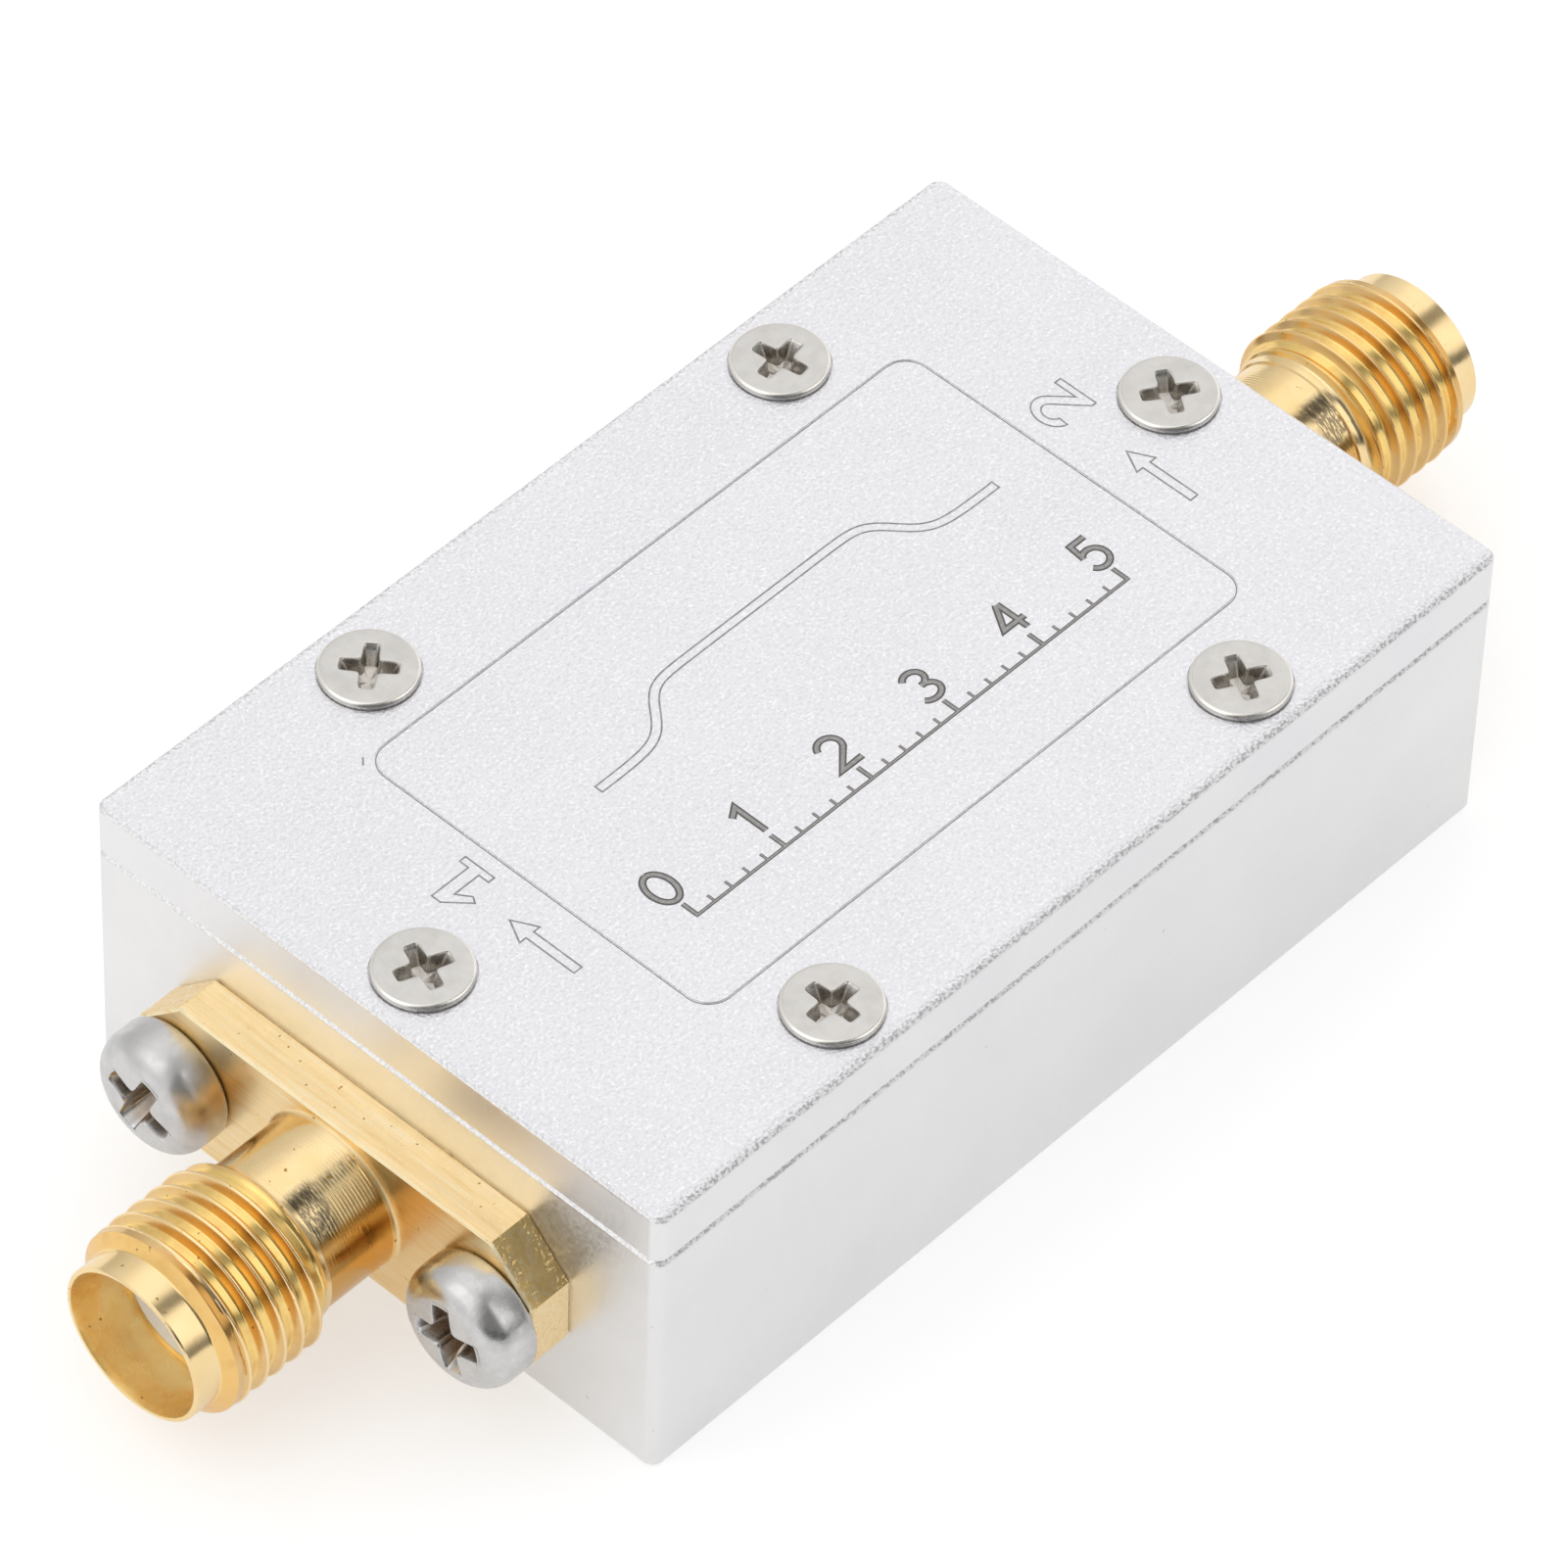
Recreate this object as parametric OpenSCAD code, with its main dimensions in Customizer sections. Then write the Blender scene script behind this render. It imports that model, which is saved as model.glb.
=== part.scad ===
// A small coaxial bandpass filter: a milled case with a screwed lid, a threaded coaxial
// connector on each end, and a circuit board with ceramic resonators inside.
// X runs along the signal path, from the input end to the output end. The case stands on Z = 0.

/* [Case] */
// Length of the case between its two end faces
case_len = 36; // [34:0.5:40]
// Width of the case
case_w = 22.5; // [21.5:0.5:26]
// Height of the case without its lid
body_h = 9.15; // [9:0.05:11]
// Thickness of the lid
lid_t = 1.9; // [1.6:0.1:2.4]
// Radius of the upright corners of the case and the lid
corner_r = 0.4; // [0.2:0.1:1]
// Size of the broken edges of the case and the lid
edge_break = 0.12; // [0.05:0.01:0.2]
// Thickness of the two end walls
end_wall = 3.8; // [3.7:0.1:4.4]
// Thickness of the two side walls
side_wall = 4.05; // [3.7:0.05:4.4]
// Radius that the cutter leaves in the corners of the pocket
pocket_r = 1.5; // [0.75:0.25:2]
// Length of the engraved panel on the lid
panel_len = 23.1; // [20:0.1:25]
// Width of the engraved panel on the lid
panel_w = 13.75; // [12:0.05:14.5]
// Radius of the corners of the engraved panel
panel_r = 0.85; // [0.5:0.05:2]
// Shift of the engraved panel towards the output end
panel_shift = 0.19; // [-0.5:0.01:0.5]
// Width of the engraved line
panel_line_w = 0.1; // [0.06:0.01:0.2]
// Depth of the engraved line
panel_line_depth = 0.04; // [0.02:0.01:0.1]

/* [Lid screws] */
// Diameter of the lid screws
lid_screw_d = 1.6; // [1.4:0.1:1.8]
// Length of a lid screw from the top of its head to its tip
lid_screw_len = 4.2; // [3.8:0.1:4.4]
// Diameter of a lid screw's head
lid_head_d = 3.04; // [2.8:0.02:3.4]
// Height by which the heads stand above the lid
lid_head_proud = 0.25; // [0.1:0.05:0.4]
// Radius of the rounded rim of a lid screw's head
lid_head_round = 0.1; // [0.04:0.01:0.15]
// Span of the cross recess of a lid screw, from tip to tip
lid_recess_span = 1.76; // [1.6:0.02:1.9]
// Width of the wings of that recess
lid_recess_w = 0.46; // [0.36:0.02:0.5]
// Depth of that recess
lid_recess_depth = 0.73; // [0.6:0.01:0.8]
// Distance between the two screws along each long side
side_screw_span = 17.5; // [15:0.5:20]
// Distance from each long side to its screws
side_screw_inset = 2.03; // [1.9:0.01:2.3]
// Distance from each end face to the lid screw at that end
end_screw_inset = 2.08; // [1.9:0.01:2.2]
// Turn of the cross recess of each lid screw, in degrees
lid_screw_turn = [8, 57, 38, 62, -20, 0];

/* [Connectors] */
// Length of the connector flange across the end face
flange_len = 15.8; // [15:0.1:17]
// Height of the connector flange
flange_h = 5.65; // [5.4:0.05:6]
// Thickness of the connector flange
flange_t = 1.6; // [1.4:0.1:2]
// Size of the flange's cut corners
flange_cut = 1.65; // [1:0.05:1.9]
// Distance between the two screws of a flange
flange_screw_span = 12.4; // [12:0.1:12.8]
// Diameter of the plain neck behind the thread
neck_d = 5.2; // [5:0.05:5.6]
// Outer diameter of the coupling thread
thread_d = 6.32; // [6.2:0.01:6.35]
// Where the thread begins, counted from the end face
thread_start = 5.05; // [4.6:0.05:5.3]
// Where the thread ends, counted from the end face
thread_end = 8.5; // [8.2:0.05:8.6]
// Size of the lead chamfer at the start of the thread
thread_lead = 0.15; // [0.1:0.01:0.2]
// Diameter of the short step after the thread
nose_d = 5.96; // [5.8:0.02:6.1]
// Length of that step
nose_step_len = 0.15; // [0.1:0.01:0.25]
// Length of the taper from that step down to the rim
nose_taper_len = 0.33; // [0.2:0.01:0.4]
// Distance from the end face to the connector's mouth
mouth_reach = 9.7; // [9.5:0.05:10]
// Outer diameter of the rim round the mouth
rim_d = 5.28; // [5.2:0.02:5.4]
// Size of the broken outer edge of the rim
rim_break = 0.08; // [0.04:0.01:0.12]
// Diameter of the socket that takes the plug's outer contact
mouth_d = 4.6; // [4.5:0.02:4.7]
// Depth of the socket down to the dielectric
mouth_depth = 1.9; // [1.7:0.05:2]
// Size of the chamfer inside the mouth
mouth_chamfer = 0.12; // [0.06:0.01:0.15]
// Diameter of the dielectric inside the connector
dielectric_d = 4.14; // [4:0.02:4.2]
// Diameter of the thinner dielectric that passes through the end wall
wall_dielectric_d = 3; // [2.6:0.1:3.1]
// Diameter of the centre contact
contact_d = 1.27; // [1.2:0.01:1.4]
// Diameter of the socket in the centre contact
contact_socket_d = 0.94; // [0.9:0.01:1]
// Depth of the socket in the centre contact
contact_socket_depth = 2.6; // [2:0.1:3]
// Width of the slots that part the contact's four fingers
contact_slot_w = 0.14; // [0.1:0.01:0.16]
// Length of those slots
contact_slot_len = 2.2; // [1.6:0.1:2.4]
// Diameter of the pin behind the centre contact
pin_d = 0.9; // [0.8:0.05:1]
// Reach of that pin into the pocket
pin_reach = 2.2; // [1.9:0.1:2.4]

/* [Flange screws] */
// Diameter of the flange screws
flange_screw_d = 2.5; // [2.2:0.1:2.6]
// Length of a flange screw under its head
flange_screw_len = 4.8; // [4.4:0.1:4.9]
// Diameter of a flange screw's head
flange_head_d = 4.16; // [4:0.02:4.4]
// Height of a flange screw's head
flange_head_h = 1.8; // [1.6:0.05:2.1]
// Radius of the rounded shoulder of a flange screw's head
flange_head_round = 0.85; // [0.5:0.05:1]
// Size of the chamfer under a flange screw's head
flange_head_foot = 0.25; // [0.1:0.01:0.3]
// Span of the cross recess of a flange screw, from tip to tip
flange_recess_span = 2.34; // [2:0.02:2.4]
// Width of the wings of that recess
flange_recess_w = 0.6; // [0.5:0.02:0.66]
// Depth of that recess
flange_recess_depth = 1.08; // [0.9:0.02:1.2]
// Turn of the cross recess of each flange screw, in degrees
flange_screw_turn = [-24, 13, 35, 70];

/* [Circuit] */
// Thickness of the circuit board
board_t = 0.8; // [0.6:0.1:1]
// Gap between the edge of the board and the pocket
board_gap = 0.2; // [0.1:0.05:0.4]
// Diameter of the board screws
board_screw_d = 1.6; // [1.4:0.1:1.8]
// Length of a board screw under its head
board_screw_len = 2.6; // [2.2:0.1:2.8]
// Diameter of a board screw's head
board_head_d = 2.8; // [2.6:0.1:3.2]
// Height of a board screw's head
board_head_h = 0.88; // [0.7:0.02:0.9]
// Radius of the rounded shoulder of a board screw's head
board_head_round = 0.44; // [0.2:0.02:0.5]
// Size of the chamfer under a board screw's head
board_head_foot = 0.12; // [0.05:0.01:0.15]
// Span of the cross recess of a board screw, from tip to tip
board_recess_span = 1.56; // [1.4:0.02:1.7]
// Width of the wings of that recess
board_recess_w = 0.4; // [0.34:0.02:0.46]
// Depth of that recess
board_recess_depth = 0.53; // [0.4:0.01:0.6]
// Turn from each board screw's recess to the next one's, in degrees
board_screw_turn = 25; // [0:5:85]
// Distance from the board's edges to its screws
board_screw_inset = 2; // [1.8:0.1:2.4]
// Width and height of a resonator
resonator_w = 3; // [2.6:0.1:3.2]
// Length of a resonator
resonator_len = 8.6; // [7.6:0.1:9]
// Diameter of the bore along a resonator
resonator_bore_d = 1; // [0.8:0.05:1.2]
// Distance between neighbouring resonators
resonator_pitch = 4.6; // [4.2:0.1:4.8]
// Gap between the rear of the resonators and the board's edge
resonator_rear_gap = 1.1; // [0.6:0.1:1.4]
// Reach of a resonator's tab in front of the resonator
tab_reach = 0.9; // [0.7:0.05:1]
// Width of the tab's leg
tab_w = 0.8; // [0.6:0.05:1]
// Thickness of the tab's leg
tab_t = 0.2; // [0.1:0.05:0.3]
// Length of the tab's pin inside the resonator's bore
tab_pin_len = 2.5; // [1.5:0.1:4]
// Length of a chip capacitor
capacitor_len = 1.6; // [1.2:0.1:2]
// Width of a chip capacitor
capacitor_w = 0.8; // [0.6:0.1:1]
// Height of a chip capacitor
capacitor_h = 0.7; // [0.4:0.05:0.8]
// Length of the metal cap on each end of a capacitor
capacitor_cap_len = 0.32; // [0.2:0.02:0.4]
// Thickness by which those caps stand proud
capacitor_cap_t = 0.03; // [0.02:0.01:0.05]
// Length of the solder joint along a contact's pin
solder_len = 1.54; // [1:0.02:1.8]
// Spread of the solder at each side of the pin, on the board
solder_spread = 0.4; // [0.2:0.05:0.6]
// Thickness of the solder beside the pin, at its top
solder_wrap = 0.05; // [0.04:0.01:0.1]

/* [Clearances] */
// Radial gap round a screw in its tapped hole
thread_gap = 0.03; // [0.02:0.01:0.06]
// Radial gap round a screw in a plain hole
hole_gap = 0.08; // [0.05:0.01:0.12]
// Radial gap round the dielectrics, the contacts and the tabs' pins
fit_gap = 0.02; // [0.01:0.01:0.03]
// Gap between a contact's pin and the board below it
pin_lift = 0.03; // [0.02:0.01:0.05]
// Radial gap between a contact's pin and its solder
solder_gap = 0.01; // [0.01:0.01:0.02]

/* [Hidden] */
$fn = 48;

// Number of ceramic resonators, one for each pole of the filter
resonator_count = 3;
// Small overrun that lets a cut start outside the solid it cuts
cut_over = 0.5;
// Steps in a rounded profile
round_steps = 8;
// Size of the chamfer at the tip of every screw
screw_tip_cut = 0.2;
// Lean of a cross recess's wings and of its round core, in degrees
wing_lean = 30;
core_lean = 15;
// Radius of that core at the recess's floor, as a share of the wings' width
core_share = 0.45;
// Height of the connectors' axis: the middle of the case's end face
axis_h = body_h / 2;
// Top and underside of the circuit board
board_top = axis_h - pin_d / 2 - pin_lift;
pocket_floor = board_top - board_t;
pocket_len = case_len - 2 * end_wall;
pocket_w = case_w - 2 * side_wall;
board_len = pocket_len - 2 * board_gap;
board_w = pocket_w - 2 * board_gap;
board_screw_x = board_len / 2 - board_screw_inset;
board_screw_y = board_w / 2 - board_screw_inset;
// Depth of a tapped hole beyond the tip of its screw
tap_over = 0.3;
// Length of a lid screw that is below the lid
lid_screw_bite = lid_screw_len - lid_head_proud - lid_t;
// Places of the six lid screws, seen from above
side_screw_y = case_w / 2 - side_screw_inset;
end_screw_x = case_len / 2 - end_screw_inset;
lid_screw_spots = [
    [side_screw_span / 2, side_screw_y],
    [end_screw_x, 0],
    [-side_screw_span / 2, side_screw_y],
    [side_screw_span / 2, -side_screw_y],
    [-end_screw_x, 0],
    [-side_screw_span / 2, -side_screw_y]
];
// Rear and front of the resonators, and the row of capacitors before them
resonator_rear = board_w / 2 - resonator_rear_gap;
resonator_front = resonator_rear - resonator_len;
capacitor_y = resonator_front - tab_reach - tab_t;

function resonator_x(k) = (k - (resonator_count - 1) / 2) * resonator_pitch;
function capacitor_x(k) = (k - resonator_count / 2) * resonator_pitch;

// Points of an arc about a centre, from one angle to another
function arc(centre, r, from, to) = [
    for (k = [0 : round_steps])
        let (a = from + (to - from) * k / round_steps)
        [centre[0] + r * cos(a), centre[1] + r * sin(a)]
];

// Outline of an upright section with its four edges broken
function broken_section(half, low, high, cut) = [
    [-half + cut, low], [half - cut, low], [half, low + cut], [half, high - cut],
    [half - cut, high], [-half + cut, high], [-half, high - cut], [-half, low + cut]
];

// Slab with round upright corners and broken top and bottom edges
module broken_slab(len, wid, low, high, r, cut) {
    rotate([90, 0, 90])
        linear_extrude(height = len - 2 * r, center = true)
            polygon(broken_section(wid / 2, low, high, cut));
    rotate([90, 0, 0])
        linear_extrude(height = wid - 2 * r, center = true)
            polygon(broken_section(len / 2, low, high, cut));
    for (sx = [-1, 1], sy = [-1, 1])
        translate([sx * (len / 2 - r), sy * (wid / 2 - r), 0])
            rotate_extrude()
                polygon([
                    [0, low], [r - cut, low], [r, low + cut],
                    [r, high - cut], [r - cut, high], [0, high]
                ]);
}

// Flat rectangle with round corners
module rounded_plate(len, wid, r) {
    square([len - 2 * r, wid], center = true);
    square([len, wid - 2 * r], center = true);
    for (sx = [-1, 1], sy = [-1, 1])
        translate([sx * (len / 2 - r), sy * (wid / 2 - r)])
            circle(r = r);
}

// Places children on an end face, with local Z pointing out of the case and local X up
module at_end(side) {
    rotate([0, 0, side > 0 ? 180 : 0])
        translate([-case_len / 2, 0, axis_h])
            rotate([0, -90, 0])
                children();
}

// Cross recess cut downwards from local Z = 0, with wings that lean inwards
module cross_recess(span, wing_w, depth) {
    top = span / 2;
    floor_half = top - depth * tan(wing_lean);
    core_r = wing_w * core_share;
    core_h = depth + cut_over;
    for (turn = [0, 90])
        rotate([90, 0, turn])
            linear_extrude(height = wing_w, center = true)
                polygon([
                    [-top, cut_over], [top, cut_over], [top, 0],
                    [floor_half, -depth], [-floor_half, -depth], [-top, 0]
                ]);
    translate([0, 0, -depth])
        cylinder(h = core_h, r1 = core_r, r2 = core_r + core_h * tan(core_lean));
}

// Screw with a rounded head: local Z = 0 is the face that the head seats on
module pan_screw(d, len, head_d, head_h, head_round, foot) {
    head_r = head_d / 2;
    rotate_extrude()
        polygon(concat(
            [[0, head_h]],
            arc([head_r - head_round, head_h - head_round], head_round, 90, 0),
            [
                [head_r, foot], [head_r - foot, 0], [d / 2, 0],
                [d / 2, screw_tip_cut - len], [d / 2 - screw_tip_cut, -len], [0, -len]
            ]
        ));
}

module case_body() {
    color("gainsboro")
        difference() {
            broken_slab(case_len, case_w, 0, body_h, corner_r, edge_break);
            translate([0, 0, pocket_floor])
                linear_extrude(height = body_h - pocket_floor + cut_over)
                    rounded_plate(pocket_len, pocket_w, pocket_r);
            for (spot = lid_screw_spots)
                translate([spot[0], spot[1], body_h - lid_screw_bite - tap_over])
                    cylinder(h = lid_screw_bite + tap_over + cut_over,
                             r = lid_screw_d / 2 + thread_gap);
            for (side = [-1, 1])
                at_end(side) {
                    translate([0, 0, -end_wall - cut_over])
                        cylinder(h = end_wall + 2 * cut_over,
                                 r = wall_dielectric_d / 2 + fit_gap);
                    for (sy = [-1, 1])
                        translate([0, sy * flange_screw_span / 2,
                                   flange_t - flange_screw_len - tap_over])
                            cylinder(h = flange_screw_len + tap_over,
                                     r = flange_screw_d / 2 + thread_gap);
                }
            for (sx = [-1, 1], sy = [-1, 1])
                translate([sx * board_screw_x, sy * board_screw_y,
                           board_top - board_screw_len - tap_over])
                    cylinder(h = board_screw_len + tap_over,
                             r = board_screw_d / 2 + thread_gap);
        }
}

module lid() {
    lid_top = body_h + lid_t;
    screw_r = lid_screw_d / 2;
    hole_r = screw_r + hole_gap;
    seat_r = lid_head_d / 2 + thread_gap;
    color("gainsboro")
        difference() {
            broken_slab(case_len, case_w, body_h, lid_top, corner_r, edge_break);
            for (spot = lid_screw_spots)
                translate([spot[0], spot[1], lid_top]) {
                    translate([0, 0, -lid_t - cut_over])
                        cylinder(h = lid_t + 2 * cut_over, r = hole_r);
                    translate([0, 0, hole_r - seat_r])
                        cylinder(h = seat_r - hole_r, r1 = hole_r, r2 = seat_r);
                    translate([0, 0, -hole_gap])
                        cylinder(h = hole_gap + cut_over, r = seat_r + hole_gap / 2);
                }
            translate([panel_shift, 0, lid_top - panel_line_depth])
                linear_extrude(height = panel_line_depth + cut_over)
                    difference() {
                        rounded_plate(panel_len + panel_line_w, panel_w + panel_line_w,
                                      panel_r + panel_line_w / 2);
                        rounded_plate(panel_len - panel_line_w, panel_w - panel_line_w,
                                      panel_r - panel_line_w / 2);
                    }
        }
}

// Countersunk screw: local Z = 0 is the top of the lid
module countersunk_screw() {
    head_r = lid_head_d / 2;
    shank_r = lid_screw_d / 2;
    tip = lid_head_proud - lid_screw_len;
    difference() {
        rotate_extrude()
            polygon(concat(
                [[0, lid_head_proud]],
                arc([head_r - lid_head_round, lid_head_proud - lid_head_round],
                    lid_head_round, 90, 0),
                [
                    [head_r, 0], [shank_r, shank_r - head_r], [shank_r, tip + screw_tip_cut],
                    [shank_r - screw_tip_cut, tip], [0, tip]
                ]
            ));
        translate([0, 0, lid_head_proud])
            cross_recess(lid_recess_span, lid_recess_w, lid_recess_depth);
    }
}

module lid_screw(k) {
    spot = lid_screw_spots[k];
    color("lightgray")
        translate([spot[0], spot[1], body_h + lid_t])
            rotate([0, 0, lid_screw_turn[k]])
                countersunk_screw();
}

module flange_plate() {
    half_h = flange_h / 2;
    half_len = flange_len / 2;
    linear_extrude(height = flange_t)
        polygon([
            [-half_h, flange_cut - half_len], [flange_cut - half_h, -half_len],
            [half_h - flange_cut, -half_len], [half_h, flange_cut - half_len],
            [half_h, half_len - flange_cut], [half_h - flange_cut, half_len],
            [flange_cut - half_h, half_len], [-half_h, half_len - flange_cut]
        ]);
}

// One turned and milled piece: flange, neck, thread and rim, with its stepped bore
module connector_shell(side) {
    neck_r = neck_d / 2;
    thread_r = thread_d / 2;
    nose_r = nose_d / 2;
    rim_r = rim_d / 2;
    taper_start = thread_end + nose_step_len;
    mouth_r = mouth_d / 2;
    color("gold")
        at_end(side)
            difference() {
                union() {
                    flange_plate();
                    rotate_extrude()
                        polygon([
                            [0, 0], [neck_r, 0], [neck_r, thread_start],
                            [thread_r - thread_lead, thread_start],
                            [thread_r, thread_start + thread_lead], [thread_r, thread_end],
                            [nose_r, thread_end], [nose_r, taper_start],
                            [rim_r, taper_start + nose_taper_len],
                            [rim_r, mouth_reach - rim_break], [rim_r - rim_break, mouth_reach],
                            [0, mouth_reach]
                        ]);
                }
                translate([0, 0, -cut_over])
                    cylinder(h = mouth_reach + 2 * cut_over, r = dielectric_d / 2 + fit_gap);
                translate([0, 0, mouth_reach - mouth_depth])
                    cylinder(h = mouth_depth + cut_over, r = mouth_r);
                translate([0, 0, mouth_reach - mouth_chamfer])
                    cylinder(h = 2 * mouth_chamfer, r1 = mouth_r, r2 = mouth_r + 2 * mouth_chamfer);
                for (sy = [-1, 1])
                    translate([0, sy * flange_screw_span / 2, -cut_over])
                        cylinder(h = flange_t + 2 * cut_over, r = flange_screw_d / 2 + hole_gap);
            }
}

// Stepped dielectric: wide in the connector, thinner through the end wall
module dielectric(side) {
    color("white")
        at_end(side)
            difference() {
                union() {
                    cylinder(h = mouth_reach - mouth_depth, r = dielectric_d / 2);
                    translate([0, 0, -end_wall])
                        cylinder(h = end_wall, r = wall_dielectric_d / 2);
                }
                cylinder(h = mouth_reach, r = contact_d / 2 + fit_gap);
                translate([0, 0, -end_wall - cut_over])
                    cylinder(h = end_wall + 2 * cut_over, r = pin_d / 2 + fit_gap);
            }
}

// Centre contact: a slotted socket in front and a solder pin behind
module centre_contact(side) {
    front = mouth_reach - mouth_depth;
    color("goldenrod")
        at_end(side)
            difference() {
                union() {
                    cylinder(h = front, r = contact_d / 2);
                    translate([0, 0, -end_wall - pin_reach])
                        cylinder(h = end_wall + pin_reach, r = pin_d / 2);
                }
                translate([0, 0, front - contact_socket_depth])
                    cylinder(h = contact_socket_depth + cut_over, r = contact_socket_d / 2);
                for (turn = [0, 90])
                    rotate([0, 0, turn])
                        translate([-contact_d, -contact_slot_w / 2, front - contact_slot_len])
                            cube([2 * contact_d, contact_slot_w, contact_slot_len + cut_over]);
            }
}

// Flange screw: screws 1 and 2 hold the input connector, 3 and 4 the output connector
module flange_screw(k) {
    side = k < 2 ? -1 : 1;
    side_of_axis = k % 2 == 0 ? 1 : -1;
    color("silver")
        at_end(side)
            translate([0, side_of_axis * flange_screw_span / 2, flange_t])
                rotate([0, 0, flange_screw_turn[k]])
                    difference() {
                        pan_screw(flange_screw_d, flange_screw_len, flange_head_d, flange_head_h,
                                  flange_head_round, flange_head_foot);
                        translate([0, 0, flange_head_h])
                            cross_recess(flange_recess_span, flange_recess_w, flange_recess_depth);
                    }
}

module circuit_board() {
    color("darkgreen")
        translate([0, 0, pocket_floor])
            linear_extrude(height = board_t)
                difference() {
                    rounded_plate(board_len, board_w, pocket_r);
                    for (sx = [-1, 1], sy = [-1, 1])
                        translate([sx * board_screw_x, sy * board_screw_y])
                            circle(r = board_screw_d / 2 + hole_gap);
                }
}

module board_screw(k) {
    sx = k < 2 ? -1 : 1;
    sy = k % 2 == 0 ? 1 : -1;
    color("silver")
        translate([sx * board_screw_x, sy * board_screw_y, board_top])
            rotate([0, 0, board_screw_turn * k])
                difference() {
                    pan_screw(board_screw_d, board_screw_len, board_head_d, board_head_h,
                              board_head_round, board_head_foot);
                    translate([0, 0, board_head_h])
                        cross_recess(board_recess_span, board_recess_w, board_recess_depth);
                }
}

// Square ceramic block with a bore along it
module resonator(k) {
    color("tan")
        translate([resonator_x(k), resonator_front, board_top])
            difference() {
                translate([-resonator_w / 2, 0, 0])
                    cube([resonator_w, resonator_len, resonator_w]);
                translate([0, -cut_over, resonator_w / 2])
                    rotate([-90, 0, 0])
                        cylinder(h = resonator_len + 2 * cut_over, r = resonator_bore_d / 2);
            }
}

// Tab that joins the metal in a resonator's bore to the board
module resonator_tab(k) {
    pin_r = resonator_bore_d / 2 - fit_gap;
    color("silver")
        translate([resonator_x(k), resonator_front, board_top]) {
            translate([0, -tab_reach, resonator_w / 2])
                rotate([-90, 0, 0])
                    cylinder(h = tab_pin_len + tab_reach, r = pin_r);
            translate([-tab_w / 2, -tab_reach - tab_t, 0])
                cube([tab_w, tab_t, resonator_w / 2 + pin_r]);
        }
}

// Chip capacitor with a metal cap on each end
module coupling_capacitor(k) {
    color("peru")
        translate([capacitor_x(k), capacitor_y, board_top]) {
            translate([-capacitor_len / 2, -capacitor_w / 2, 0])
                cube([capacitor_len, capacitor_w, capacitor_h]);
            for (start = [-capacitor_len / 2, capacitor_len / 2 - capacitor_cap_len])
                translate([start, -capacitor_w / 2 - capacitor_cap_t, 0])
                    cube([capacitor_cap_len, capacitor_w + 2 * capacitor_cap_t,
                          capacitor_h + capacitor_cap_t]);
        }
}

// Solder that fills the corner between a contact's pin and the board
module solder_joint(side) {
    foot_half = pin_d / 2 + solder_spread;
    top_half = pin_d / 2 + solder_wrap;
    color("lightgray")
        rotate([0, 0, side > 0 ? 180 : 0])
            translate([-pocket_len / 2 + pin_reach - solder_len, 0, 0])
                difference() {
                    rotate([90, 0, 90])
                        linear_extrude(height = solder_len)
                            polygon([
                                [-foot_half, board_top], [foot_half, board_top],
                                [top_half, axis_h], [-top_half, axis_h]
                            ]);
                    translate([-cut_over, 0, axis_h])
                        rotate([0, 90, 0])
                            cylinder(h = solder_len + 2 * cut_over, r = pin_d / 2 + solder_gap);
                }
}

case_body();
lid();
for (k = [0 : 5])
    lid_screw(k);
connector_shell(-1);  // input_connector_shell
connector_shell(1);  // output_connector_shell
dielectric(-1);  // input_dielectric
dielectric(1);  // output_dielectric
centre_contact(-1);  // input_contact
centre_contact(1);  // output_contact
for (k = [0 : 3])
    flange_screw(k);
circuit_board();
for (k = [0 : 3])
    board_screw(k);
for (k = [0 : resonator_count - 1])
    resonator(k);
for (k = [0 : resonator_count - 1])
    resonator_tab(k);
for (k = [0 : resonator_count])
    coupling_capacitor(k);
solder_joint(-1);  // input_solder
solder_joint(1);  // output_solder
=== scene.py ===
import bmesh
import bpy
import numpy as np
from mathutils import Matrix


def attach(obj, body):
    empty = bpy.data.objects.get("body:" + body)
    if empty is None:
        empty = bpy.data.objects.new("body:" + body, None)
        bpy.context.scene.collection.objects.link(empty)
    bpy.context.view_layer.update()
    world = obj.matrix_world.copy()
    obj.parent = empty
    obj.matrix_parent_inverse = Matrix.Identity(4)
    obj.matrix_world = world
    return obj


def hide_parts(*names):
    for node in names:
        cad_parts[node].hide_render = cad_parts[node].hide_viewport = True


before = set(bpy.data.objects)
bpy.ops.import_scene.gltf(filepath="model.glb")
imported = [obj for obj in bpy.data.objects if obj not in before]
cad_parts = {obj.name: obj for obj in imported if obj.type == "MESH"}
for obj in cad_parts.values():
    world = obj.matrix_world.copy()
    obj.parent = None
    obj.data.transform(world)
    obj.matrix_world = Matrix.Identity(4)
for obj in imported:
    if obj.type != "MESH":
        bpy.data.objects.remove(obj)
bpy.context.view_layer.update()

# Case body: one block of aluminium, milled out for the circuit and bead-blasted. Its walls are satin,
# with a few pits, and its edges are broken by a small chamfer. The milled solid is kept as it is.
case_half_len = 18
case_half_wid = 11.25
body_top = 9.15


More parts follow.
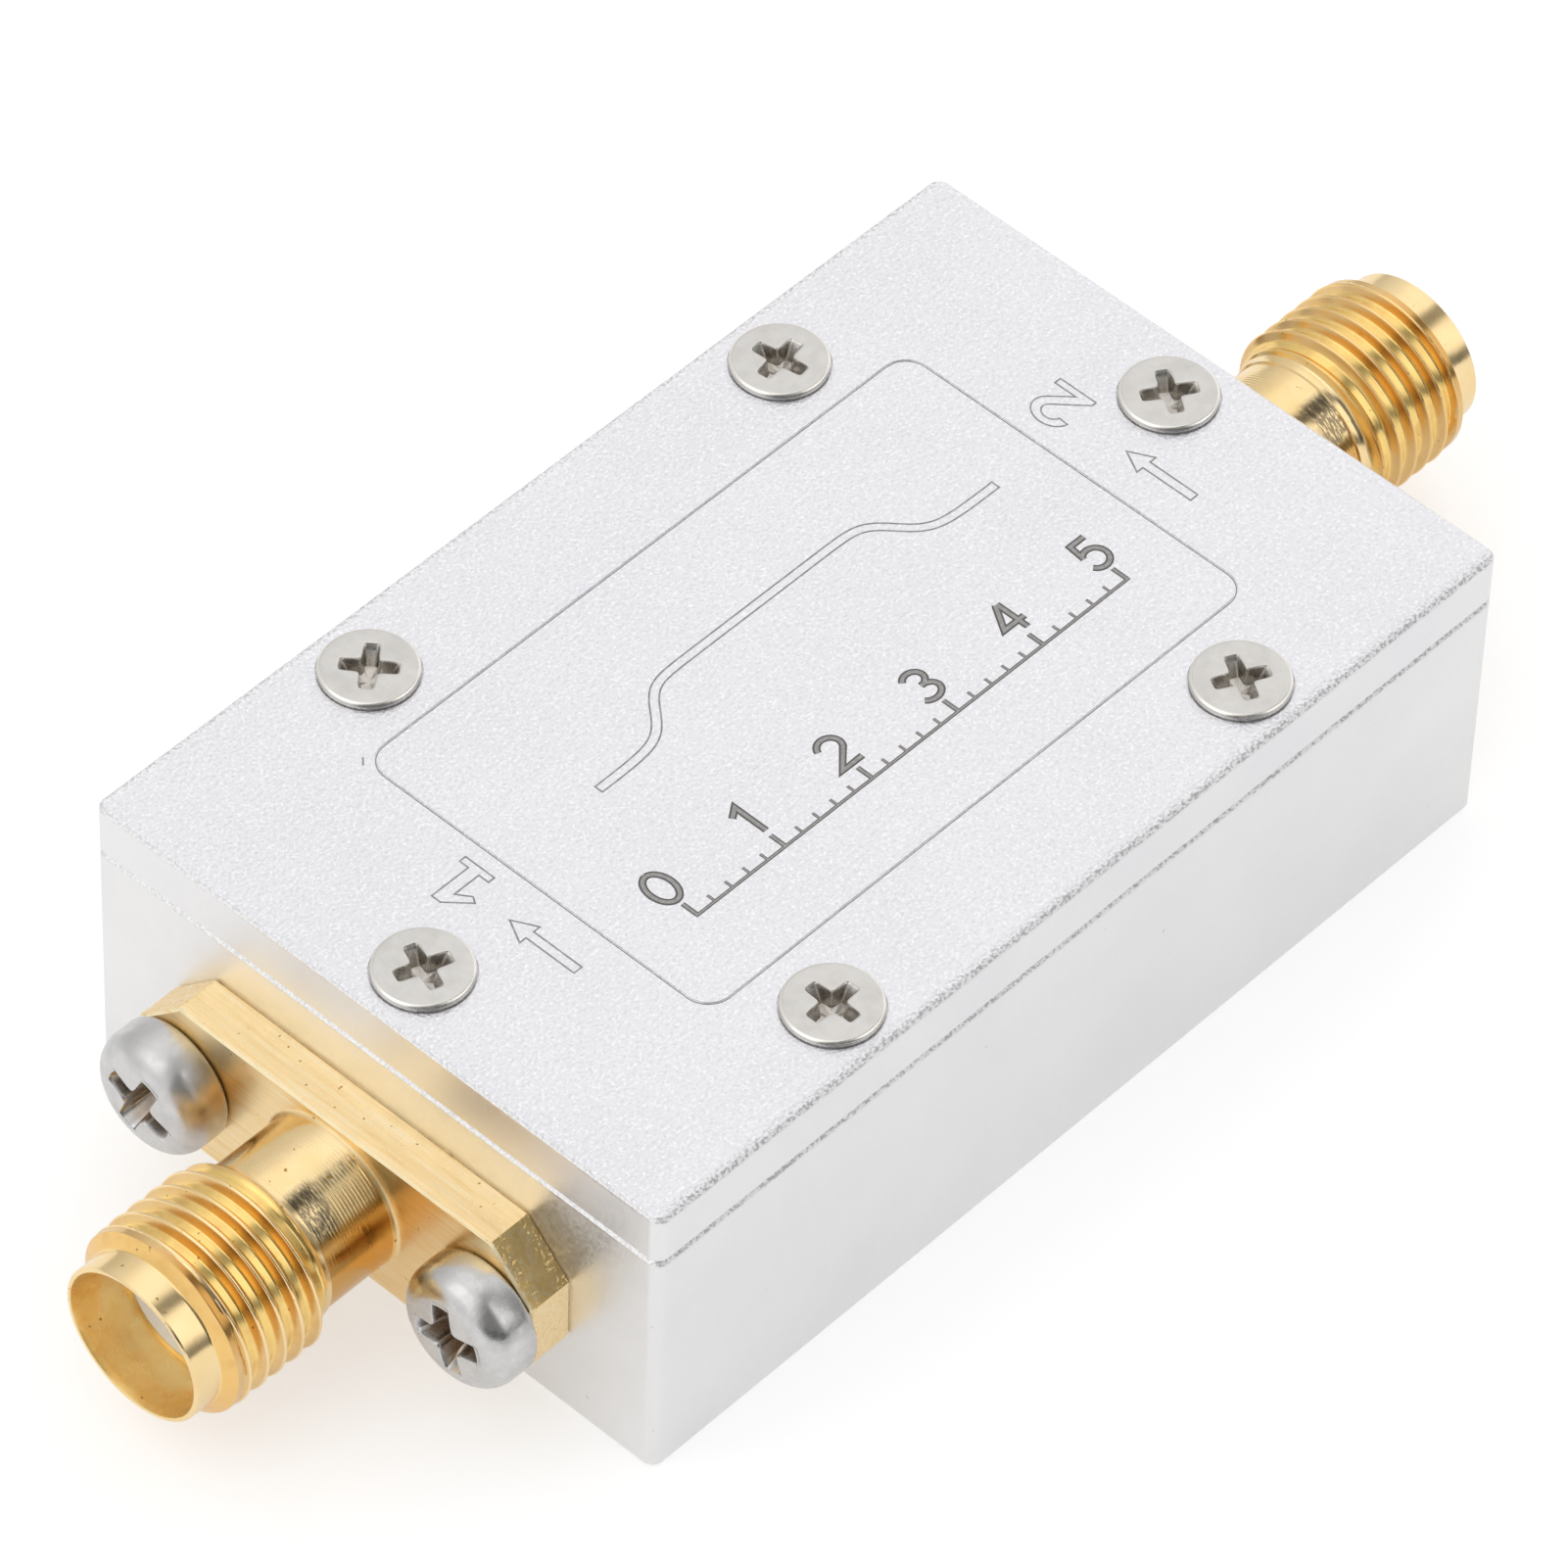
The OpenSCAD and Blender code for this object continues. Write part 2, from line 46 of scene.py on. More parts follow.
class Finish:
    """A Principled material whose patterns read Object coordinates, mapped to millimetres."""

    def __init__(self, name, colour, metallic, roughness):
        self.material = bpy.data.materials.new(name)
        self.material.use_nodes = True
        self.nodes = self.material.node_tree.nodes
        self.links = self.material.node_tree.links
        self.shader = self.nodes["Principled BSDF"]
        self.shader.inputs["Base Color"].default_value = (*colour, 1)
        self.shader.inputs["Metallic"].default_value = metallic
        self.shader.inputs["Roughness"].default_value = roughness
        self.place = self.stretch((1, 1, 1))

    def stretch(self, scale, turn=(0, 0, 0)):
        """Object coordinates in millimetres, times scale, after a turn in degrees."""
        source = self.nodes.new("ShaderNodeTexCoord")
        mapping = self.nodes.new("ShaderNodeMapping")
        mapping.inputs["Scale"].default_value = [1000 * s for s in scale]
        mapping.inputs["Rotation"].default_value = np.radians(turn)
        self.links.new(source.outputs["Object"], mapping.inputs["Vector"])
        return mapping.outputs["Vector"]

    def axis(self, letter):
        """One coordinate, in millimetres."""
        split = self.nodes.new("ShaderNodeSeparateXYZ")
        self.links.new(self.place, split.inputs["Vector"])
        return split.outputs[letter]

    def grain(self, size, detail=2, place=None):
        """Noise from 0 to 1 in lumps about size millimetres across."""
        noise = self.nodes.new("ShaderNodeTexNoise")
        noise.inputs["Scale"].default_value = 1 / size
        noise.inputs["Detail"].default_value = detail
        self.links.new(place or self.place, noise.inputs["Vector"])
        return noise.outputs["Fac"]

    def limit(self, value, low, high, first=0, last=1):
        """Straight line through (low, first) and (high, last), held level outside them."""
        node = self.nodes.new("ShaderNodeMapRange")
        self.links.new(value, node.inputs["Value"])
        node.inputs["From Min"].default_value = low
        node.inputs["From Max"].default_value = high
        node.inputs["To Min"].default_value = first
        node.inputs["To Max"].default_value = last
        return node.outputs["Result"]

    def join(self, how, first, second):
        """Math node on two values, each a socket or a number."""
        node = self.nodes.new("ShaderNodeMath")
        node.operation = how
        for slot, value in enumerate((first, second)):
            if isinstance(value, (int, float)):
                node.inputs[slot].default_value = value
            else:
                self.links.new(value, node.inputs[slot])
        return node.outputs["Value"]

    def times(self, value, *others):
        """Product of values, such as masks that have to hold together."""
        for other in others:
            value = self.join("MULTIPLY", value, other)
        return value

    def unsigned(self, value):
        """Value without its sign."""
        return self.join("ABSOLUTE", value, 0)

    def distance(self, first, second):
        """Square root of the sum of both values' squares."""
        squares = self.join("ADD", self.times(first, first), self.times(second, second))
        return self.join("SQRT", squares, 0)

    def paint(self, factor, over):
        """Colour over where factor is 1, and what was painted before where it is 0."""
        mix = self.nodes.new("ShaderNodeMix")
        mix.data_type = "RGBA"
        self.links.new(factor, mix.inputs["Factor"])
        target = self.shader.inputs["Base Color"]
        if target.is_linked:
            self.links.new(target.links[0].from_socket, mix.inputs[6])
        else:
            mix.inputs[6].default_value = target.default_value
        mix.inputs[7].default_value = (*over, 1)
        self.links.new(mix.outputs[2], target)

    def mottle(self, size, detail, low, high, over, most=1):
        """Patches of a colour where grain of that size goes from low to high, mixed in up to most."""
        self.paint(self.limit(self.grain(size, detail), low, high, 0, most), over)

    def rough(self, value):
        """Roughness that follows a value."""
        self.links.new(value, self.shader.inputs["Roughness"])

    def relief(self, height, depth):
        """Bump of a 0 to 1 height, depth millimetres high, on top of any bump laid before."""
        bump = self.nodes.new("ShaderNodeBump")
        bump.inputs["Distance"].default_value = depth / 1000
        bump.inputs["Strength"].default_value = 1
        target = self.shader.inputs["Normal"]
        if target.is_linked:
            self.links.new(target.links[0].from_socket, bump.inputs["Normal"])
        self.links.new(height, bump.inputs["Height"])
        self.links.new(bump.outputs["Normal"], target)

    def dress(self, *nodes):
        """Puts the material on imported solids."""
        for node in nodes:
            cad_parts[node].material_slots[0].material = self.material


def blasted_aluminium(name, colour, grain_depth, glint_and_lump_share, ragged_height):
    """Bead-blasted aluminium: fine lumps on the top face with bright specks painted on as glints, smooth
    sides, end faces painted a little lighter as painted light, and machined edges along the walls that are
    ragged at one height, their chips painted lighter and darker as painted highlight and painted shade."""
    finish = Finish(name, colour, 1, 0.4)
    along, across = finish.unsigned(finish.axis("X")), finish.unsigned(finish.axis("Y"))
    height = finish.axis("Z")
    on_top = finish.limit(height, ragged_height - 0.09, ragged_height - 0.02)
    on_end = finish.limit(along, case_half_len - 0.05, case_half_len - 0.01)
    finish.paint(finish.limit(on_top, 1, 0), (0.88, 0.88, 0.883))
    # The end faces are painted a little lighter than the sides: painted light.
    finish.paint(on_end, (0.91, 0.905, 0.905))
    finish.mottle(4.0, 3, 0.35, 0.7, [0.95 * c for c in colour], 0.5)
    lumps = finish.grain(0.13, 2)
    # Near white specks on the top face are painted glints, a painted highlight. The darker lumps are the
    # blast's own tone.
    painted_glints = finish.limit(finish.grain(0.105, 1), 0.55, 0.68, 0, glint_and_lump_share)
    dark_lumps = finish.limit(lumps, 0.44, 0.34, 0, 0.4 * glint_and_lump_share)
    finish.paint(finish.times(on_top, painted_glints), (0.97, 0.97, 1))
    finish.paint(finish.times(on_top, dark_lumps), [0.88 * c for c in colour])
    side_edge = finish.limit(across, case_half_wid - 0.36, case_half_wid - 0.1)
    end_edge = finish.limit(along, case_half_len - 0.2, case_half_len - 0.1, 0, 0.4)
    near_line = finish.limit(finish.unsigned(finish.join("SUBTRACT", height, ragged_height)), 0.18, 0.1)
    band = finish.times(finish.join("MAXIMUM", side_edge, end_edge), near_line)
    chips_and_edge_light = finish.grain(0.085, 1, finish.stretch((0.75, 1, 1), (0, 0, 35)))
    # Along the ragged band the chips are painted darker as painted shade and near white as a painted
    # highlight on the broken edge; their bump is real.
    finish.paint(finish.times(band, finish.limit(chips_and_edge_light, 0.52, 0.6)), (0.64, 0.64, 0.65))
    finish.paint(finish.times(band, finish.limit(chips_and_edge_light, 0.5, 0.44)), (0.99, 0.99, 1.0))
    blasted = finish.limit(lumps, 0.3, 0.7, 0.46, 0.33)
    blasted = finish.join("ADD", finish.times(on_end, 0.02), blasted)
    finish.rough(finish.join("MAXIMUM", finish.times(band, 0.7), blasted))
    finish.relief(finish.times(on_top, lumps), grain_depth)
    finish.relief(finish.times(band, chips_and_edge_light), 0.045)
    finish.relief(finish.times(on_end, finish.grain(0.1, 1)), 0.005)
    return finish


case_finish = blasted_aluminium("satin_case_aluminium", (0.87, 0.87, 0.875), grain_depth=0.004,
                                glint_and_lump_share=0.12, ragged_height=body_top)
case_finish.mottle(0.34, 1, 0.78, 0.83, (0.56, 0.54, 0.52))
case_finish.relief(case_finish.grain(0.3, 3), 0.0035)
case_finish.dress("case_body")

# Lid: a flat aluminium plate on the case, blasted coarser than the case, with a laser-cut panel line.
# The laser marks are a few micrometres proud: a ruler with plain numbers, burnt grey with darker rims,
# and thin lines that draw a pass-band curve, two arrows, a 1 and a 2.
lid_top = 11.05
lid_finish = blasted_aluminium("blasted_lid_aluminium", (0.865, 0.86, 0.898), grain_depth=0.03,
                               glint_and_lump_share=1, ragged_height=lid_top)
lid_finish.dress("lid")


def sheet(points):
    """A rows x columns x 3 grid as one list of points, and the quads between neighbouring points."""
    rows, columns = points.shape[:2]
    index = np.arange(rows * columns).reshape(rows, columns)
    corners = [index[:-1, :-1], index[1:, :-1], index[1:, 1:], index[:-1, 1:]]
    return points.reshape(-1, 3), np.stack(corners, axis=-1).reshape(-1, 4)


merge_reach, thinnest_edge, sharp_from = 2e-7, 1e-8, np.radians(32)


def make_piece(name, grids, finish, nodes=()):
    """Grids in millimetres become one closed mesh in metres: edges that meet are merged, faces are
    turned outwards, and edges that bend by less than sharp_from are shaded smooth."""
    patch_points, patch_quads = zip(*(sheet(grid) for grid in grids))
    starts = np.cumsum([0] + [len(points) for points in patch_points[:-1]])
    points = np.concatenate(patch_points) / 1000
    quads = np.concatenate([quads + start for quads, start in zip(patch_quads, starts)])
    mesh = bpy.data.meshes.new(name)
    mesh.from_pydata(points.tolist(), [], quads.tolist())
    shell = bmesh.new()
    shell.from_mesh(mesh)
    bmesh.ops.remove_doubles(shell, verts=shell.verts, dist=merge_reach)
    bmesh.ops.dissolve_degenerate(shell, edges=shell.edges, dist=thinnest_edge)
    bmesh.ops.recalc_face_normals(shell, faces=shell.faces)
    shell.to_mesh(mesh)
    shell.free()
    mesh.polygons.foreach_set("use_smooth", np.ones(len(mesh.polygons), dtype=bool))
    mesh.set_sharp_from_angle(angle=sharp_from)
    mesh.materials.append(finish.material)
    piece = bpy.data.objects.new(name, mesh)
    bpy.context.scene.collection.objects.link(piece)
    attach(piece, "root")
    if nodes:
        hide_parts(*nodes)


bar_depth, rim_drop, mitre_limit, tip_len = 0.012, 0.004, 0.4, 0.001


def stroke(path, width, top, closed=False):
    """A flat bar with lower rims carried along a path in the plane. Each point moves to both sides along
    the mean normal of its two edges, by half the width over the cosine of half the bend. Shares of that
    reach and heights make the bar's section. An open path ends in a point just past each end."""
    path = np.asarray(path, dtype=float)
    if closed:
        ahead = np.roll(path, -1, axis=0) - path
        behind = path - np.roll(path, 1, axis=0)
    else:
        ahead = np.diff(path, axis=0, append=2 * path[-1:] - path[-2:-1])
        behind = np.diff(path, axis=0, prepend=2 * path[:1] - path[1:2])
    ahead /= np.linalg.norm(ahead, axis=1, keepdims=True)
    behind /= np.linalg.norm(behind, axis=1, keepdims=True)
    along = ahead + behind
    along /= np.linalg.norm(along, axis=1, keepdims=True)
    reach = width / 2 / np.maximum(np.sum(along * ahead, axis=1, keepdims=True), mitre_limit)
    side = np.stack([-along[:, 1], along[:, 0]], axis=1) * reach
    low, edge = top - bar_depth, top - rim_drop
    section = [(1, edge), (0.55, edge), (0.45, top), (-0.45, top), (-0.55, edge), (-1, edge),
               (-1, low), (1, low), (1, edge)]
    grid = [np.column_stack([path + out * side, np.full(len(path), z)]) for out, z in section]
    grid = np.stack(grid, axis=1)
    if closed:
        return np.concatenate([grid, grid[:1]])
    first = np.append(path[0] - behind[0] * tip_len, (low + edge) / 2)
    last = np.append(path[-1] + ahead[-1] * tip_len, (low + edge) / 2)
    first, last = (np.tile(tip, (1, len(section), 1)) for tip in (first, last))
    return np.concatenate([first, grid, last])


def bend(x, y, radius_x, radius_y, first, last, count=18):
    """Points on an ellipse from one angle to another, in degrees."""
    angle = np.radians(np.linspace(first, last, count))
    return np.column_stack([x + radius_x * np.cos(angle), y + radius_y * np.sin(angle)])


# Digits in a box one unit high, each drawn in one or two strokes. A second stroke lies a layer step higher.
digit_strokes = {
    0: [bend(0.3, 0.5, 0.3, 0.5, 90, 450, 40)],
    1: [np.array([(0.08, 0.8), (0.34, 1.0), (0.34, 0.0)])],
    2: [np.concatenate([bend(0.3, 0.7, 0.29, 0.3, 165, -35), [(0.02, 0.0), (0.62, 0.0)]])],
    3: [bend(0.28, 0.75, 0.26, 0.25, 150, -90), bend(0.28, 0.26, 0.3, 0.26, 90, -150)],
    4: [np.array([(0.46, 0.0), (0.46, 1.0)]), np.array([(0.42, 1.0), (0.02, 0.3), (0.64, 0.3)])],
    5: [np.array([(0.56, 1.0), (0.13, 1.0), (0.08, 0.5)]), bend(0.29, 0.33, 0.3, 0.33, 135, -150)],
}
mark_top, layer_step = lid_top + 0.007, 0.0008
bold_width, rule_width, major_width, minor_width, thin_width = 0.24, 0.12, 0.17, 0.1, 0.055
scale_left, scale_right, scale_low, rule_past_end = -8.9, 9.5, -4.1, 0.08
major_len, minor_len, digit_left, digit_up, digit_size = 0.6, 0.32, 0.42, 0.82, (1.4, 1.25)
major = np.linspace(scale_left, scale_right, 6)
minor = np.setdiff1d(np.round(np.linspace(scale_left, scale_right, 26), 4), np.round(major, 4))
rule = [(scale_left - rule_past_end, scale_low), (scale_right + rule_past_end, scale_low)]
bold_marks = [stroke(rule, rule_width, mark_top)]
for marks_x, mark_len, mark_width in ((major, major_len, major_width), (minor, minor_len, minor_width)):
    bold_marks += [stroke([(x, scale_low), (x, scale_low + mark_len)], mark_width, mark_top + layer_step)
                   for x in marks_x]
for number, x in enumerate(major):
    for layer, path in enumerate(digit_strokes[number]):
        shifted = path * digit_size + (x - digit_left, scale_low + digit_up)
        bold_marks.append(stroke(shifted, bold_width, mark_top + layer_step * layer))

bold_finish = Finish("burnt_laser_mark", (0.33, 0.32, 0.31), 0.3, 0.55)
bold_finish.mottle(0.12, 2, 0.4, 0.7, (0.43, 0.42, 0.41))
bold_finish.paint(bold_finish.limit(bold_finish.axis("Z"), mark_top - 0.001, mark_top - 0.002),
                  (0.13, 0.125, 0.12))
bold_finish.relief(bold_finish.grain(0.06, 2), 0.004)
make_piece("lid_scale_marks", bold_marks, bold_finish)


def outlined(points):
    """A closed thin line through the points."""
    return stroke(points, thin_width, mark_top, closed=True)


# Pass-band curve: low + rise / (1 + |(x - middle) / half width|^order), outlined half a gap to each side.
band_middle, band_half, band_order, curve_low, curve_rise, curve_half_gap = 1.1, 5.2, 14, 1.25, 1.75, 0.15
curve_x = np.linspace(-7.4, 9.6, 160)
pass_band = 1 / (1 + np.abs((curve_x - band_middle) / band_half) ** band_order)
curve = np.column_stack([curve_x, curve_low + curve_rise * pass_band])
slope = np.gradient(curve, axis=0)
slope /= np.linalg.norm(slope, axis=1, keepdims=True)
off_curve = curve_half_gap * np.column_stack([-slope[:, 1], slope[:, 0]])
thin_marks = [outlined(np.concatenate([curve + off_curve, (curve - off_curve)[::-1]]))]
digit_one = np.array([(0.0, 0.62), (0.42, 1.0), (0.62, 1.0), (0.62, 0.14), (0.82, 0.14), (0.82, 0.0),
                      (0.16, 0.0), (0.16, 0.14), (0.38, 0.14), (0.38, 0.72), (0.12, 0.54)])
outer_two = bend(0.42, 0.68, 0.4, 0.32, 172, -38)
inner_two = bend(0.42, 0.69, 0.2, 0.16, -35, 172)
foot_two = [(0.36, 0.14), (0.84, 0.14), (0.84, 0.0), (0.02, 0.0), (0.02, 0.1)]
digit_two = np.concatenate([outer_two, foot_two, inner_two])
arrow = np.array([(0.0, 0.16), (1.9, 0.16), (1.9, 0.42), (2.7, 0.0), (1.9, -0.42), (1.9, -0.16),
                  (0.0, -0.16)])
port_size = 1.75


def along_width(points, scale, x, y):
    """Turns a drawing a quarter left, so it reads along +Y, and sets it at x, y."""
    points = np.asarray(points) * scale
    return np.column_stack([x - points[:, 1], y + points[:, 0]])


for drawing, size, x, y in ((digit_one, port_size, -11.95, 0.75), (arrow, 1, -12.8, -3.1),
                            (digit_two, port_size, 14.2, 1.35), (arrow, 1, 13.35, -3.3)):
    thin_marks.append(outlined(along_width(drawing, size, x, y)))
panel_half_len, panel_half_wid, panel_corner, panel_middle = 11.55, 6.875, 0.85, 0.19
panel_groove, line_over_floor, panel_line_width = 0.04, 0.006, 0.035
panel_line = np.concatenate([
    bend(panel_middle + sx * (panel_half_len - panel_corner), sy * (panel_half_wid - panel_corner),
         panel_corner, panel_corner, start, start + 90, 12)
    for sx, sy, start in ((1, 1, 0), (-1, 1, 90), (-1, -1, 180), (1, -1, 270))])
panel_line_top = lid_top - panel_groove + line_over_floor
thin_marks.append(stroke(panel_line, panel_line_width, panel_line_top, closed=True))
nick, nick_width = [(-11.5, 6.75), (-11.28, 6.98)], 0.06
thin_marks.append(stroke(nick, nick_width, mark_top))

thin_finish = Finish("light_laser_mark", (0.3, 0.295, 0.285), 0.4, 0.5)
thin_finish.mottle(0.2, 2, 0.45, 0.7, (0.46, 0.45, 0.44))
thin_finish.relief(thin_finish.grain(0.05, 2), 0.003)
make_piece("lid_line_marks", thin_marks, thin_finish)

# Lid screws: six nickel-plated steel screws, cold-headed with a flat disc top and a punched cross
# recess, sunk in the lid's countersinks and driven into tapped holes in the case walls.
screw_columns = 120
span_lean, wing_lean = 0.5, 0.08
groove_depth, groove_pitch = 0.13, 0.35


def plus_radius(angle, half_span, half_wing):
    """Outline of a cross seen from its middle: two bars, each with rounded ends
    (|cos / half_span|^9 + |sin / half_wing|^9)^(-1/9), joined by a soft maximum (a^4 + b^4)^(1/4)."""
    c, s = np.abs(np.cos(angle)), np.abs(np.sin(angle))
    bar = ((c / half_span) ** 9 + (s / half_wing) ** 9) ** (-1 / 9)
    cross_bar = ((s / half_span) ** 9 + (c / half_wing) ** 9) ** (-1 / 9)
    return (bar ** 4 + cross_bar ** 4) ** (1 / 4)


def screw_grid(top, crown, edge_r, round_r, span, wing, depth, side, shank_r, pitch, tip):
    """Rings carried from the bottom of the cross recess up its leaning walls, over the head, down its
    side and along a threaded shank to the tip. The recess narrows with depth. The head's height is
    top - crown * (radius / flat radius)^2. The thread is a cosine of height / pitch minus angle / full
    turn, and its depth grows with the pitch."""
    angle = np.linspace(0, 2 * np.pi, screw_columns + 1)
    flat_r = edge_r - round_r
    rings = [(0 * angle, top - depth + 0 * angle)]

    def roof(radius):
        """Height of the head's top at a radius."""
        return top - crown * (np.minimum(radius, flat_r) / flat_r) ** 2

    for share, shrink in ((0.93, 0.6), (0.9, 1), (0.7, 1), (0.5, 1), (0.3, 1), (0.12, 1)):
        below = depth * share
        outline = shrink * plus_radius(angle, span / 2 - span_lean * below, wing / 2 - wing_lean * below)
        rings.append((outline, roof(outline) - below))
    for grow, below in ((0, 0.035), (0.01, 0.011), (0.035, 0.0)):
        outline = plus_radius(angle, span / 2 + grow, wing / 2 + grow)
        rings.append((outline, roof(outline) - below))
    for share in (0.12, 0.35, 0.65, 1):
        radius = (1 - share) * outline + share * flat_r
        rings.append((radius, roof(radius)))
    for turn in np.radians(np.linspace(0, 90, 12))[1:]:
        rings.append((flat_r + round_r * np.sin(turn) + 0 * angle,
                      top - crown - round_r * (1 - np.cos(turn)) + 0 * angle))
    for radius, height in side:
        rings.append((radius + 0 * angle, height + 0 * angle))
    start = side[-1][1]
    for height in np.arange(start - pitch / 3, tip + 0.25, -pitch / 5):
        fade = np.clip(min((start - height) / pitch, (height - tip) / pitch), 0, 1)
        groove = 0.5 - 0.5 * np.cos(2 * np.pi * height / pitch - angle)
        rings.append((shank_r - groove_depth * fade * pitch / groove_pitch * groove, height + 0 * angle))
    rings.append((shank_r - 0.1 + 0 * angle, tip + 0.1 + 0 * angle))
    rings.append((shank_r - 0.2 + 0 * angle, tip + 0 * angle))
    rings.append((0 * angle, tip + 0 * angle))
    radius, height = (np.stack(rows) for rows in zip(*rings))
    return np.stack([radius * np.cos(angle), radius * np.sin(angle), height], axis=-1)


def set_grid(grid, axes, place, turn=0):
    """Turns a local grid about its Z axis in degrees, then carries it to the frame's axes and place."""
    c, s = np.cos(np.radians(turn)), np.sin(np.radians(turn))
    about = np.array([(c, -s, 0), (s, c, 0), (0, 0, 1)])
    return grid @ about.T @ np.asarray(axes, dtype=float) + np.asarray(place, dtype=float)


nickel = Finish("nickel_plate", (0.665, 0.65, 0.63), 1, 0.24)
nickel.mottle(0.8, 3, 0.42, 0.68, (0.61, 0.595, 0.575))
screw_height = nickel.axis("Z")
# Below the lid's top the nickel is painted darker and warmer: painted shade deep in the cross recess and in
# the seat's gap.
nickel.paint(nickel.limit(screw_height, lid_top, lid_top - 0.1), (0.6, 0.57, 0.53))
# A near white band painted on the head's rounded rim: a painted highlight.
painted_rim_highlight = nickel.limit(screw_height, lid_top + 0.236, lid_top + 0.226)
painted_rim_highlight = nickel.times(painted_rim_highlight, nickel.limit(screw_height, lid_top + 0.16, lid_top + 0.18))
nickel.paint(painted_rim_highlight, (0.97, 0.94, 0.88))
nickel.rough(nickel.limit(nickel.grain(0.3, 3), 0.3, 0.7, 0.17, 0.34))
nickel.relief(nickel.grain(0.12, 3), 0.0022)
lid_side = [(1.55, 0.03), (1.545, -0.1), (0.8, -0.8)]
lid_screw = screw_grid(top=0.25, crown=0.012, edge_r=1.55, round_r=0.14, span=1.78, wing=0.48,
                       depth=0.73, side=lid_side, shank_r=0.8, pitch=0.35, tip=-3.95)
lid_screw_spots = [(8.75, 9.22), (15.92, 0), (-8.75, 9.22), (8.75, -9.22), (-15.92, 0), (-8.75, -9.22)]
lid_screw_turns = [8, 57, 38, 62, -20, 0]
for number, (spot, turn) in enumerate(zip(lid_screw_spots, lid_screw_turns), 1):
    grid = set_grid(lid_screw, np.eye(3), (*spot, lid_top), turn)
    make_piece(f"countersunk_screw_{number}", [grid], nickel, [f"lid_screw_{number}"])

# Connector shells: turned and milled from brass, then gold-plated, flange, neck and thread in one piece.
# The thread is cut by a single point, right-handed, with worn crests, and runs out at the neck and at the
# smooth nose. The flange has cut corners and a small bevel, and tool rings show on the neck's worn side.
axis_height = 4.575
shell_columns = 144
input_axes = [(0, 0, 1), (0, 1, 0), (-1, 0, 0)]
output_axes = [(0, 0, 1), (0, -1, 0), (1, 0, 0)]


def turned(profile):
    """Each (radius, height) of the profile carried round the local Z axis in equal steps."""
    angle = np.linspace(0, 2 * np.pi, shell_columns + 1)
    radius, height = np.asarray(profile, dtype=float).T[:, :, None]
    return np.stack([radius * np.cos(angle), radius * np.sin(angle), height + 0 * angle], axis=-1)


def cut_thread(start, end, crest, depth, pitch, phase):
    """Rows follow the helix: height = phase + pitch * (turn + share + angle / full turn), held between
    start and end. Radius = crest(height) - depth(height) * groove(share), where groove is 0 on the crest,
    bends over a worn corner into a 60 degree flank, and is 1 on the wide root."""
    share, groove = np.array([
        (0, 0), (0.02, 0.004), (0.035, 0.016), (0.05, 0.041), (0.065, 0.082), (0.08, 0.138), (0.1, 0.219),
        (0.16, 0.463), (0.22, 0.707), (0.28, 0.915), (0.31, 0.964), (0.33, 0.985), (0.35, 0.994),
        (0.42, 0.999), (0.5, 1)]).T
    share = np.append(share, 1 - share[-2:0:-1])
    groove = np.append(groove, groove[-2:0:-1])
    angle = np.linspace(0, 2 * np.pi, shell_columns + 1)
    turns = np.arange(np.floor((start - phase) / pitch) - 1, np.ceil((end - phase) / pitch) + 1)
    row = (turns[:, None] + share).reshape(-1, 1)
    height = np.clip(phase + pitch * (row + angle / (2 * np.pi)), start, end)
    at = ((height - phase) / pitch - angle / (2 * np.pi)) % 1
    cut = np.interp(at, np.append(share, 1), np.append(groove, 0))
    radius = np.interp(height, *crest) - np.interp(height, *depth) * cut
    return np.stack([radius * np.cos(angle), radius * np.sin(angle), height], axis=-1)


# Flange: three flat cells side by side, one round the bore and one round each screw hole. Even rays from
# the bore meet the middle cell's outline, and corner_ray is the one that meets its corner.
flange_half_wid, flange_half_len, flange_cut, flange_thick, flange_break = 2.825, 7.9, 1.65, 1.6, 0.08
corner_ray, half_turn = 21, shell_columns // 2
cell_half = flange_half_wid * np.tan(2 * np.pi * corner_ray / shell_columns)
screw_middle, screw_hole = 6.2, 1.33
neck_r, neck_foot, shell_bore_r = 2.6, 0.14, 2.09


def inset(outline, by):
    """Squeezes a flange outline inwards by a chamfer, its screw ends apart from its middle cell."""
    x, y = outline[..., 0], outline[..., 1]
    beyond = np.maximum(np.abs(y) - cell_half, 0)
    squeeze = (flange_half_len - by - cell_half) / (flange_half_len - cell_half)
    y = np.sign(y) * (np.minimum(np.abs(y), cell_half) + beyond * squeeze)
    return np.stack([x * (flange_half_wid - by) / flange_half_wid, y], axis=-1)


def steps_between(corners, count=8):
    """Count equal steps on each straight edge between corners."""
    share = np.linspace(0, 1, count + 1)[:, None]
    edges = [a + (b - a) * share for a, b in zip(np.array(corners[:-1]), np.array(corners[1:]))]
    return np.concatenate(edges)


ray = np.radians(np.arange(shell_columns + 1) * 360 / shell_columns)
ray_len = np.minimum(flange_half_wid / np.maximum(np.abs(np.cos(ray)), 1e-9),
                     cell_half / np.maximum(np.abs(np.sin(ray)), 1e-9))
middle_cell = np.column_stack([ray_len * np.cos(ray), ray_len * np.sin(ray)])
shared = middle_cell[corner_ray:half_turn - corner_ray + 1]
end_edge = steps_between([(flange_half_wid, cell_half), (flange_half_wid, flange_half_len - flange_cut),
                          (flange_half_wid - flange_cut, flange_half_len),
                          (flange_cut - flange_half_wid, flange_half_len),
                          (-flange_half_wid, flange_half_len - flange_cut), (-flange_half_wid, cell_half)])
end_cell = np.concatenate([end_edge, shared[::-1]])


